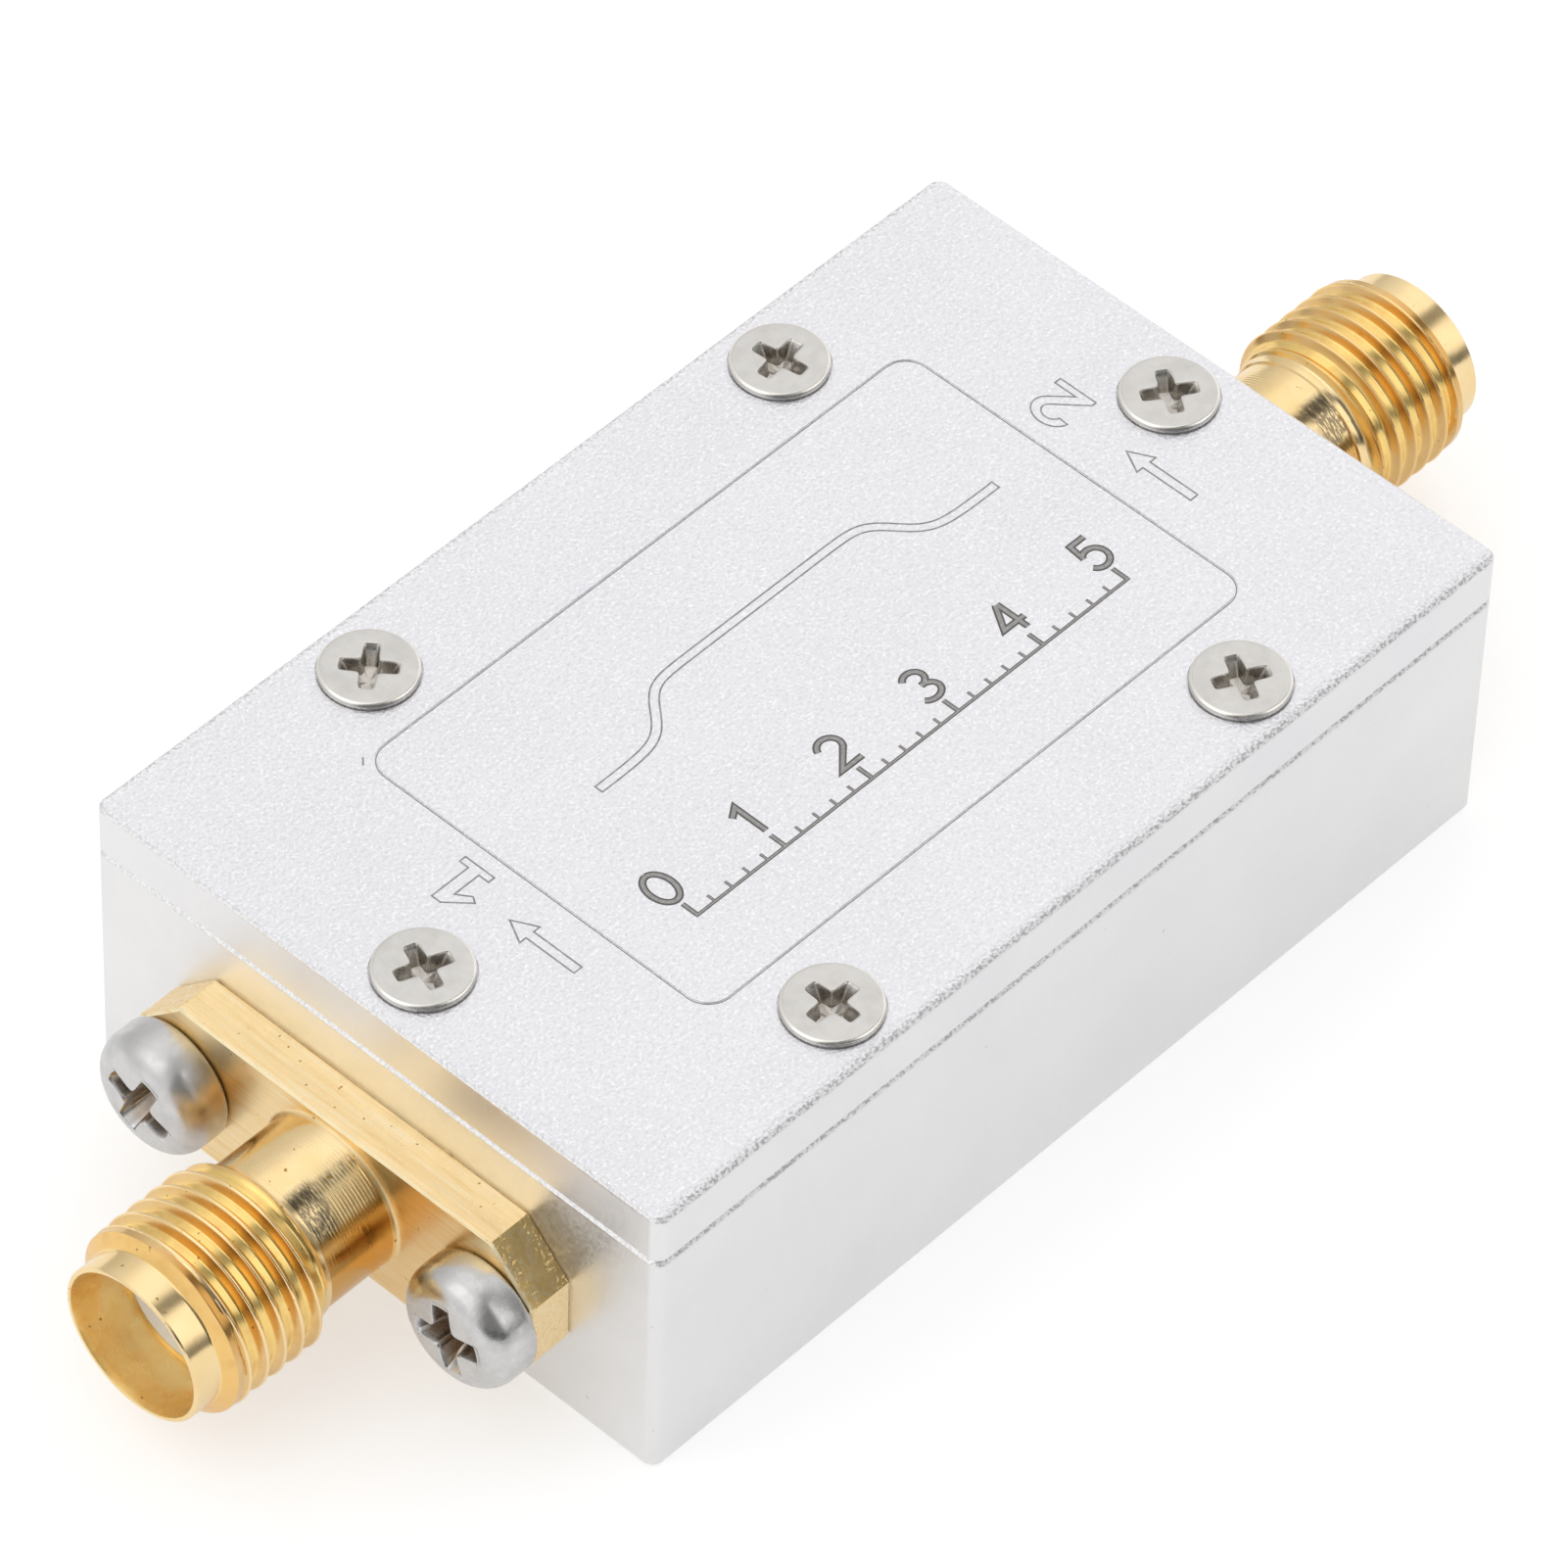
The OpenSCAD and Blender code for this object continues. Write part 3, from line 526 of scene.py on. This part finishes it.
def face_grid(outline, middle, hole_r, height):
    """Flat face from a hole to its cell's outline: straight rays from each outline point to the hole."""
    offset = outline - middle
    rim = middle + hole_r * offset / np.linalg.norm(offset, axis=1, keepdims=True)
    share = np.array([0, 0.15, 0.5, 1])[:, None, None]
    flat = rim + (outline - rim) * share
    return np.concatenate([flat, np.full((*flat.shape[:2], 1), height)], axis=-1)


def wall_grid(outline, levels):
    """Outline carried through (inset, height) levels."""
    return np.stack([np.column_stack([inset(outline, by), np.full(len(outline), height)])
                     for by, height in levels])


wall_levels = [(flange_break, 0), (0, flange_break), (0, flange_thick - flange_break),
               (flange_break, flange_thick)]
flange_grids = []
for height, hole_r in ((flange_thick, neck_r + neck_foot), (0, shell_bore_r)):
    flange_grids.append(face_grid(inset(middle_cell, flange_break), np.zeros(2), hole_r, height))
top_edge = middle_cell[half_turn - corner_ray:half_turn + corner_ray + 1]
bottom_edge = np.concatenate([middle_cell[shell_columns - corner_ray:shell_columns],
                              middle_cell[:corner_ray + 1]])
flange_grids += [wall_grid(edge, wall_levels) for edge in (top_edge, bottom_edge)]
for side in (1, -1):
    hole = np.array([0, side * screw_middle])
    cell = inset(end_cell * side, flange_break)
    for height in (flange_thick, 0):
        flange_grids.append(face_grid(cell, hole, screw_hole, height))
    flange_grids.append(wall_grid(end_edge * side, wall_levels))
    rim = hole + screw_hole * (cell - hole) / np.linalg.norm(cell - hole, axis=1, keepdims=True)
    hole_wall = [np.column_stack([rim, np.full(len(rim), height)]) for height in (0, flange_thick)]
    flange_grids.append(np.stack(hole_wall))

# Neck: a foot of quarter-circle section, then rows 0.0195 mm apart with fine scratches all round. On the
# worn side the radius also follows a sine of height with a period of 0.12 mm, strongest in the middle.
ring_noise = np.random.default_rng(11)
neck_low, neck_top, neck_step, scratch_depth = 1.76, 4.28, 0.0195, 0.0012
ring_middle, ring_period, ring_depth = 2.72, 0.12, 0.0026
neck_height = np.arange(neck_low, neck_top, neck_step)
rings_shown = np.clip(2.8 - np.abs(neck_height - ring_middle) / 0.4, 0.15, 1)
scratches = np.convolve(ring_noise.standard_normal(len(neck_height)), (0.3, 0.5, 0.3), "same")
neck_radius = neck_r + scratch_depth * scratches
foot = [(neck_r + neck_foot * (1 - np.sin(t)), flange_thick + neck_foot * (1 - np.cos(t)))
        for t in np.radians(np.linspace(0, 90, 6))]
neck = [*foot, *zip(neck_radius, neck_height), (neck_r, neck_top), (2.625, 4.3), (2.66, 4.325), (2.66, 4.5)]
worn_and_shaded_y, worn_and_shaded_z = -0.574, 0.819
neck_grid = turned(neck)
worn_side = neck_grid[..., :2] @ (worn_and_shaded_z, worn_and_shaded_y) / np.hypot(neck_grid[..., 0], neck_grid[..., 1])
ring_wave = rings_shown * np.sin(neck_height * 2 * np.pi / ring_period)
ring_wave = np.interp(neck_grid[..., 2], neck_height, ring_wave, 0, 0)
neck_grid[..., :2] *= (1 + ring_depth * ring_wave * np.clip((worn_side - 0.89) / 0.06, 0.05, 1))[..., None]

# Thread, nose and mouth: lists of heights with their radii, depths or both, in millimetres.
thread_start, thread_end, nose_r, rim_r = 4.5, 8.5, 3.1, 2.64
thread_pitch, thread_phase = 0.7056, 5.414
mouth_reach, mouth_r, mouth_floor = 9.7, 2.3, 7.8
thread_crest = ([thread_start, 4.6, 4.72, 4.85, 5.1, 5.25, 8.27, 8.31, thread_end],
                [2.66, 2.7, 2.9, 3.02, 3.14, 3.16, 3.16, nose_r, nose_r])
thread_depth = ([4.6, 4.72, 4.85, 5.1, 5.25, 8.18, 8.27, 8.32], [0, 0.13, 0.22, 0.29, 0.31, 0.31, 0.08, 0])
thread = cut_thread(thread_start, thread_end, thread_crest, thread_depth, thread_pitch, thread_phase)
bore_height = np.arange(mouth_reach - 0.22, mouth_floor + 0.05, -0.06)
bore_taper = np.interp(bore_height, (mouth_floor, 8.6, 9.5), (0, 0.06, 0.14))
bore_radius = mouth_r + bore_taper + scratch_depth * ring_noise.standard_normal(len(bore_height))
nose = [
    (nose_r, thread_end), (3.09, 8.515), (3.06, 8.53), (2.7, 8.735), (2.665, 8.76), (2.645, 8.79),
    (rim_r, 8.83), (rim_r, 9.2), (rim_r, 9.645), (2.6, 9.69), (2.585, mouth_reach), (2.5, mouth_reach),
    (2.48, 9.69), (2.455, 9.6), (2.44, 9.5), *zip(bore_radius, bore_height), (mouth_r, mouth_floor),
    (2.2, mouth_floor), (shell_bore_r, mouth_floor), (shell_bore_r, 4.0), (shell_bore_r, 0)]
shell_grids = [*flange_grids, neck_grid, thread, turned(nose)]

# Plating: out_x is a place's distance from the case's end wall, off_axis its distance from the connector's
# axis, sideways the share of that along Y, and the last share is along the worn side's direction, the side
# that faces the room's dark zone, where shade and dark reflections are painted on.
gold = Finish("gold_plating", (0.985, 0.765, 0.425), 1, 0.18)
gold.mottle(1.3, 3, 0.42, 0.7, (0.95, 0.7, 0.345))
out_x = gold.join("SUBTRACT", gold.unsigned(gold.axis("X")), case_half_len)
out_y, out_z = gold.axis("Y"), gold.join("SUBTRACT", gold.axis("Z"), axis_height)
off_axis = gold.distance(out_y, out_z)
towards_shaded_side = gold.join("ADD", gold.times(out_y, worn_and_shaded_y), gold.times(out_z, worn_and_shaded_z))
towards_shaded_side = gold.join("DIVIDE", towards_shaded_side, off_axis)
sideways = gold.join("DIVIDE", out_y, off_axis)
on_thread = gold.times(gold.limit(out_x, 4.6, 4.8), gold.limit(out_x, 8.78, 8.74))
on_shaded_thread_side = gold.times(on_thread, gold.limit(towards_shaded_side, 0.72, 0.96, 0.45, 1))
# On the side facing the room's dark zone, the flanks below the crest are painted dark brown and then
# orange: painted shade. The roots all round are painted a deeper orange: painted reflection of the gold
# between the flanks.
gold.paint(gold.times(on_shaded_thread_side, gold.limit(off_axis, 3.13, 3.1)), (0.62, 0.33, 0.09))
gold.paint(gold.times(on_shaded_thread_side, gold.limit(off_axis, 3.1, 2.93)), (0.95, 0.64, 0.23))
gold.paint(gold.times(on_thread, gold.limit(off_axis, 2.92, 2.86)), (1.0, 0.71, 0.25))
# The far shell's crests are painted a deeper orange: painted shade that dims their highlights.
far_thread = gold.limit(gold.axis("X"), case_half_len + 4.6, case_half_len + 4.8)
gold.paint(gold.times(far_thread, gold.limit(off_axis, 3.09, 3.12, 0, 0.8)), (0.93, 0.62, 0.25))
# The nose's flank is painted a deeper orange: a painted reflection of the gold round it.
gold.paint(gold.times(gold.limit(out_x, 8.5, 8.53), gold.limit(off_axis, 2.66, 2.7)), (0.93, 0.6, 0.22))
on_flange = gold.limit(out_x, flange_thick + 0.06, flange_thick)
gold.paint(on_flange, (1.0, 0.765, 0.41))
diagonal = gold.join("ADD", gold.unsigned(out_y), gold.unsigned(out_z))
cut_diagonal = flange_half_len + flange_half_wid - flange_cut
on_cut = gold.limit(diagonal, cut_diagonal - 0.03, cut_diagonal - 0.01)
gold.paint(on_cut, (1.0, 0.72, 0.3))
# The flange's small bevel is painted pale cream: a painted highlight along its edges.
on_bevel = gold.times(gold.limit(out_x, flange_thick - 0.085, flange_thick - 0.075),
                      gold.limit(out_x, flange_thick, flange_thick - 0.01))
gold.paint(on_bevel, (1.0, 0.88, 0.6))
streaks = gold.grain(0.14, 2, gold.stretch((1, 0.05, 1)))
gold.paint(gold.times(on_flange, gold.limit(streaks, 0.5, 0.68, 0, 0.7)), (1.0, 0.85, 0.57))
gold.paint(gold.times(on_flange, gold.limit(streaks, 0.45, 0.3, 0, 0.6)), (0.88, 0.62, 0.29))
stains = gold.limit(gold.grain(0.7, 2), 0.5, 0.7, 0, 0.5)
gold.paint(gold.times(on_thread, stains, gold.limit(off_axis, 3.13, 3.06)), (0.78, 0.46, 0.15))
on_neck = gold.times(gold.limit(off_axis, 2.64, 2.62), gold.limit(out_x, 1.76, 1.8),
                     gold.limit(out_x, 4.4, 4.3))
# The neck, all but its top, is painted a deep orange-brown: painted shade.
painted_shade_below = gold.limit(gold.join("DIVIDE", out_z, off_axis), 0.65, 0.58, 0, 0.9)
gold.paint(gold.times(on_neck, painted_shade_below), (0.7, 0.37, 0.09))
# Brown patches painted on the neck's -Y side along the edge of its dark reflection band: painted shade.
dark_band_edge = gold.times(gold.limit(sideways, -0.3, -0.38), gold.limit(sideways, -0.5, -0.4))
band_shade_patches = gold.limit(gold.grain(0.3, 2, gold.stretch((2, 1, 1))), 0.6, 0.42, 0, 0.7)
gold.paint(gold.times(on_neck, dark_band_edge, band_shade_patches), (0.3, 0.24, 0.15))
# Dark streaks round the neck on the side facing the room's dark zone: partly real scuffing, partly painted
# dark reflection.
scuffed_and_shaded = gold.times(on_neck, gold.limit(towards_shaded_side, 0.93, 0.965), gold.limit(out_x, 3.2, 3.5))
scuffs_and_shade = gold.limit(gold.grain(0.22, 3, gold.stretch((4, 1, 1))), 0.64, 0.48, 0, 0.9)
gold.paint(gold.times(scuffed_and_shaded, scuffs_and_shade), (0.24, 0.19, 0.12))
in_bore = gold.times(gold.limit(off_axis, 2.52, 2.47), gold.limit(out_x, 7, 7.1))
gold.paint(in_bore, (1.0, 0.78, 0.36))
gold.paint(gold.times(in_bore, gold.limit(gold.grain(0.5, 2), 0.45, 0.7)), (0.97, 0.68, 0.27))
milled = gold.join("ADD", gold.limit(out_x, flange_thick + 0.15, flange_thick + 0.08, 0, 0.1),
                   gold.limit(out_x, flange_thick - 0.02, flange_thick + 0.03, 0, 0.17))
milled = gold.times(milled, gold.limit(out_x, flange_thick + 0.2, flange_thick + 0.15))
milled = gold.join("MAXIMUM", milled, gold.times(on_bevel, gold.limit(on_cut, 0, 1, 0.35, 0.7)))
in_groove = gold.times(on_thread, gold.limit(off_axis, 3.13, 3.06, 0, 0.05))
worn = gold.join("ADD", gold.join("ADD", milled, in_groove), gold.times(in_bore, 0.1))
gold.rough(gold.join("ADD", worn, gold.limit(gold.grain(0.6, 3), 0.3, 0.7, 0.11, 0.21)))
gold.links.new(gold.limit(in_bore, 0, 1, 1, 0.75), gold.shader.inputs["Metallic"])
gold.mottle(0.22, 1, 0.74, 0.79, (0.45, 0.28, 0.1))
off_middle = gold.unsigned(gold.join("SUBTRACT", out_x, flange_thick / 2))
pits = gold.times(gold.limit(gold.grain(0.11, 1), 0.6, 0.72), gold.limit(off_middle, 0.25, 0.55))
gold.relief(gold.times(on_cut, pits), 0.042)
gold.relief(gold.grain(0.1, 2, gold.stretch((6, 1, 1))), 0.0012)
gold.relief(gold.grain(0.35, 2), 0.002)
ends = (("input", input_axes, (-case_half_len, 0, axis_height)),
        ("output", output_axes, (case_half_len, 0, axis_height)))
for end, axes, place in ends:
    grids = [set_grid(grid, axes, place) for grid in shell_grids]
    make_piece(f"{end}_threaded_shell", grids, gold, [f"{end}_connector_shell"])

# Dielectrics: white fluoropolymer sleeves pressed into the shells and through the end walls.
# Their ends are faced flat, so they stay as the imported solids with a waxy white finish.
dielectric_finish = Finish("white_fluoropolymer", (0.94, 0.935, 0.92), 0, 0.42)
dielectric_finish.shader.inputs["Subsurface Weight"].default_value = 0.12
dielectric_finish.shader.inputs["Subsurface Radius"].default_value = (0.0006, 0.0006, 0.0005)
dielectric_finish.mottle(0.8, 3, 0.4, 0.7, (0.9, 0.89, 0.87))
dielectric_finish.relief(dielectric_finish.grain(0.12, 3), 0.004)
dielectric_finish.dress("input_dielectric", "output_dielectric")

# Contacts: beryllium-copper pins, gold-plated, with a slotted socket in front and a solder pin behind.
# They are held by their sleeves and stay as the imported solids.
contact_finish = Finish("contact_gold_plating", (0.95, 0.68, 0.3), 1, 0.2)
contact_finish.mottle(0.3, 3, 0.45, 0.7, (0.86, 0.56, 0.22))
contact_finish.relief(contact_finish.grain(0.08, 2), 0.0015)
contact_finish.dress("input_contact", "output_contact")

# Flange screws: stainless pan heads with a deep cross recess, two through each flange into the case.
# The heads are tumbled, so they are soft-shining with small dents round the recess.
stainless = Finish("tumbled_stainless", (0.69, 0.685, 0.68), 1, 0.22)
stainless.mottle(0.7, 3, 0.4, 0.7, (0.61, 0.605, 0.6))
screw_y = stainless.join("SUBTRACT", stainless.unsigned(stainless.axis("Y")), screw_middle)
screw_z = stainless.join("SUBTRACT", stainless.axis("Z"), axis_height)
off_screw = stainless.distance(screw_y, screw_z)
head_bottom = case_half_len + flange_thick
below_top = stainless.limit(stainless.unsigned(stainless.axis("X")), head_bottom + 1.64, head_bottom + 1.3)
in_recess = stainless.times(below_top, stainless.limit(off_screw, 1.36, 1.3))
# The cross recess is painted a darker brown: painted shade.
stainless.paint(in_recess, (0.5, 0.43, 0.36))
dull_side = stainless.times(stainless.limit(off_screw, 1.4, 1.9, 0, 0.09),
                            stainless.limit(stainless.axis("Y"), 0, 1))
tumbled = stainless.limit(stainless.grain(0.35, 3), 0.3, 0.7, 0.2, 0.36)
stainless.rough(stainless.join("ADD", dull_side, tumbled))
stainless.relief(stainless.grain(0.5, 3), 0.008)
stainless.relief(stainless.grain(0.1, 2), 0.0018)
pan_side = [(2.08, 0.25), (2.06, 0.14), (2.0, 0.06), (1.9, 0.01), (1.8, 0.0), (1.25, 0.0), (1.25, -0.1)]
pan_head = screw_grid(top=1.8, crown=0.08, edge_r=2.08, round_r=0.85, span=2.58, wing=0.68,
                      depth=1.15, side=pan_side, shank_r=1.25, pitch=0.45, tip=-4.8)
flange_screw_turns = [-24, 13, 35, 70]
for number, turn in enumerate(flange_screw_turns, 1):
    end, axes, place = ends[(number - 1) // 2]
    side = 1 if number % 2 else -1
    local = set_grid(pan_head, np.eye(3), (0, 0, 0), turn) + (0, side * screw_middle, flange_thick)
    grid = set_grid(local, axes, place)
    make_piece(f"pan_head_screw_{number}", [grid], stainless, [f"flange_screw_{number}"])

# Circuit board: glass-epoxy laminate on the pocket's floor, held by four screws, with the resonators and
# capacitors soldered on top. It is green with solder mask over copper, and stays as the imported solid.
board_finish = Finish("green_solder_mask", (0.02, 0.13, 0.055), 0, 0.32)
board_finish.mottle(0.25, 3, 0.45, 0.6, (0.025, 0.16, 0.07))
board_finish.relief(board_finish.grain(0.3, 2), 0.004)
board_finish.dress("circuit_board")

# Board screws: four small stainless pan heads that hold the board down on the pocket's floor.
# They share the flange screws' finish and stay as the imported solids.
stainless.dress(*(f"board_screw_{number}" for number in range(1, 5)))

# Resonators: pressed and fired ceramic bars, plated with silver, one for each pole of the filter.
# A tinned tab soldered into each bore ties it to the board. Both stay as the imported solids.
resonator_finish = Finish("silvered_ceramic", (0.74, 0.7, 0.62), 0.6, 0.4)
resonator_finish.mottle(0.9, 3, 0.4, 0.65, (0.82, 0.8, 0.75))
resonator_finish.relief(resonator_finish.grain(0.08, 3), 0.004)
resonator_finish.dress(*(f"resonator_{number}" for number in range(1, 4)))
tab_finish = Finish("tinned_tab", (0.72, 0.72, 0.7), 1, 0.3)
tab_finish.mottle(0.3, 2, 0.4, 0.7, (0.6, 0.6, 0.58))
tab_finish.relief(tab_finish.grain(0.1, 2), 0.003)
tab_finish.dress(*(f"resonator_tab_{number}" for number in range(1, 4)))

# Capacitors: four ceramic chips with a tinned cap on each end, soldered to the board in a row between the
# two contacts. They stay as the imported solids, all in the fired ceramic's brown.
capacitor_finish = Finish("capacitor_ceramic", (0.42, 0.28, 0.17), 0, 0.45)
capacitor_finish.mottle(0.2, 3, 0.4, 0.7, (0.5, 0.35, 0.22))
capacitor_finish.relief(capacitor_finish.grain(0.05, 2), 0.002)
capacitor_finish.dress(*(f"coupling_capacitor_{number}" for number in range(1, 5)))

# Solder: a bead of tin alloy at each end, melted on by hand, joins the contact's pin to the board.
# It is bright with soft lumps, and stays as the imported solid.
solder_finish = Finish("solder", (0.66, 0.66, 0.65), 1, 0.22)
solder_finish.mottle(0.25, 3, 0.4, 0.7, (0.55, 0.55, 0.54))
solder_finish.relief(solder_finish.grain(0.15, 3), 0.008)
solder_finish.dress("input_solder", "output_solder")

# Studio floor: a wide sheet of white card under the part. It shows white where nothing shades it,
# and keeps the part's soft shadow.
card = Finish("white_card", (0.68, 0.68, 0.68), 0, 0.7)
card.relief(card.grain(2.0, 2), 0.002)
seen = card.nodes.new("ShaderNodeLightPath")
shown = card.join("MAXIMUM", seen.outputs["Is Camera Ray"], seen.outputs["Is Transmission Ray"])
glow = card.join("ADD", card.times(shown, 0.48), card.times(seen.outputs["Is Glossy Ray"], 0.34))
card.shader.inputs["Emission Color"].default_value = (1, 1, 1, 1)
card.links.new(glow, card.shader.inputs["Emission Strength"])
floor_half, floor_drop = 2500, 0.002
floor_lines = np.linspace(-floor_half, floor_half, 9)
floor_x, floor_y = np.meshgrid(floor_lines, floor_lines, indexing="ij")
floor_points, floor_quads = sheet(np.stack([floor_x, floor_y, 0 * floor_x - floor_drop], axis=-1))
floor_mesh = bpy.data.meshes.new("studio_floor")
floor_mesh.from_pydata((floor_points / 1000).tolist(), [], floor_quads.tolist())
floor_mesh.materials.append(card.material)
floor = bpy.data.objects.new("studio_floor", floor_mesh)
bpy.context.scene.collection.objects.link(floor)

# Studio light: a bright soft room that only mirror rays see, with dark zones that give the metal its
# contrast and two zones that are brighter. Diffuse rays see an even white room and the camera sees
# white. One soft box stands over the far left.
world = bpy.data.worlds.new("studio_room")
bpy.context.scene.world = world
world.use_nodes = True
room, ties = world.node_tree.nodes, world.node_tree.links
room.clear()
direction = room.new("ShaderNodeTexCoord")


def room_dot(axis):
    """Dot product of the direction with an axis."""
    node = room.new("ShaderNodeVectorMath")
    node.operation = "DOT_PRODUCT"
    node.inputs[1].default_value = axis
    ties.new(direction.outputs["Generated"], node.inputs[0])
    return node.outputs["Value"]


def room_limit(value, low, high, first=0, last=1):
    """Smooth step from first to last while value goes from low to high."""
    node = room.new("ShaderNodeMapRange")
    node.interpolation_type = "SMOOTHSTEP"
    ties.new(value, node.inputs["Value"])
    for label, number in (("From Min", low), ("From Max", high), ("To Min", first), ("To Max", last)):
        node.inputs[label].default_value = number
    return node.outputs["Result"]


def room_join(how, first, second=None):
    """Math node on one or two values."""
    node = room.new("ShaderNodeMath")
    node.operation = how
    ties.new(first, node.inputs[0])
    if second is not None:
        ties.new(second, node.inputs[1])
    return node.outputs["Value"]


def room_shade(colour, strength):
    """Light of one colour, as a node whose strength may be tied to a value."""
    node = room.new("ShaderNodeBackground")
    node.inputs["Color"].default_value = (*colour, 1)
    node.inputs["Strength"].default_value = strength
    return node


def room_choice(share, first, second):
    """First light where share is 0, second where it is 1."""
    node = room.new("ShaderNodeMixShader")
    for slot, source in enumerate((share, first, second)):
        ties.new(source, node.inputs[slot])
    return node.outputs["Shader"]


to_side, to_depth, to_sky = room_dot((1, 0, 0)), room_dot((0, 1, 0)), room_dot((0, 0, 1))
off_gap = room_join("ABSOLUTE", room_dot((0.12, -0.93, -0.347)))
gap_ends = room_join("MAXIMUM", room_limit(to_side, 0.1, -0.1), room_limit(to_side, 0.65, 0.85))
gap_tone = room_join("MAXIMUM", room_limit(off_gap, 0.07, 0.23, 0.3, 1), gap_ends)
camera_tone = room_join("MAXIMUM", room_limit(to_side, -0.08, 0.22, 0.18, 1),
                        room_limit(to_depth, -0.44, -0.22, 0.18, 1))
near_edge = room_join("MAXIMUM", room_limit(to_sky, 0.13, 0.33, 0.2, 1), room_limit(to_depth, -0.5, -0.2))
low_tone = room_limit(to_sky, 0.05, 0.5, 0.85, 1)
far_tone = room_limit(to_depth, 0.35, 0.95, 1, 0.7)
near_tone = room_limit(to_depth, -0.3, -0.6, 1, 1.17)
high_tone = room_limit(room_dot((0.46, 0.3, 0.84)), 0.9, 0.97, 1, 1.1)
tone = near_tone
for zone in (gap_tone, camera_tone, near_edge, low_tone, far_tone, high_tone):
    tone = room_join("MULTIPLY", tone, zone)
mirror_light = room_shade((1, 0.995, 0.985), 1)
ties.new(tone, mirror_light.inputs["Strength"])
even_light, backdrop = room_shade((1, 1, 1), 0.88), room_shade((1, 1, 1), 1)
room_ray = room.new("ShaderNodeLightPath").outputs
room_light = room_choice(room_ray["Is Diffuse Ray"], mirror_light.outputs[0], even_light.outputs[0])
in_view = room_join("MAXIMUM", room_ray["Is Camera Ray"], room_ray["Is Transmission Ray"])
room_out = room.new("ShaderNodeOutputWorld")
ties.new(room_choice(in_view, room_light, backdrop.outputs[0]), room_out.inputs["Surface"])

box_place, box_width, box_watts = (-0.42, 0.15, 0.54), 0.5, 0.28
box_back = np.array(box_place) / np.linalg.norm(box_place)
box_right = np.cross((0, 0, 1), box_back)
box_right /= np.linalg.norm(box_right)
box_turn = np.column_stack([box_right, np.cross(box_back, box_right), box_back])
soft_box = bpy.data.objects.new("left_box", bpy.data.lights.new("left_box", "AREA"))
soft_box.data.size = box_width
soft_box.data.energy = box_watts
soft_box.matrix_world = Matrix.Translation(box_place) @ Matrix(box_turn.tolist()).to_4x4()
bpy.context.scene.collection.objects.link(soft_box)

# Camera: where the photographer stood, about 0.33 m from the part, looking down over the input end.
# Its place, turn (right, up, back) and lens were solved from the case's edges in the photo.
eye = (-0.162273, -0.142538, 0.246573)
camera_turn = np.column_stack([(0.68323, -0.72972, 0.02649), (0.5309, 0.5214, 0.6681),
                               (-0.50131, -0.44238, 0.74363)])
camera = bpy.data.objects.new("camera", bpy.data.cameras.new("camera"))
camera.data.lens = 251.7
camera.data.sensor_width = 36
camera.data.clip_start = 0.01
camera.data.clip_end = 20
camera.matrix_world = Matrix.Translation(eye) @ Matrix(camera_turn.tolist()).to_4x4()
bpy.context.scene.collection.objects.link(camera)
bpy.context.scene.camera = camera
bpy.context.scene.view_settings.view_transform = "Standard"
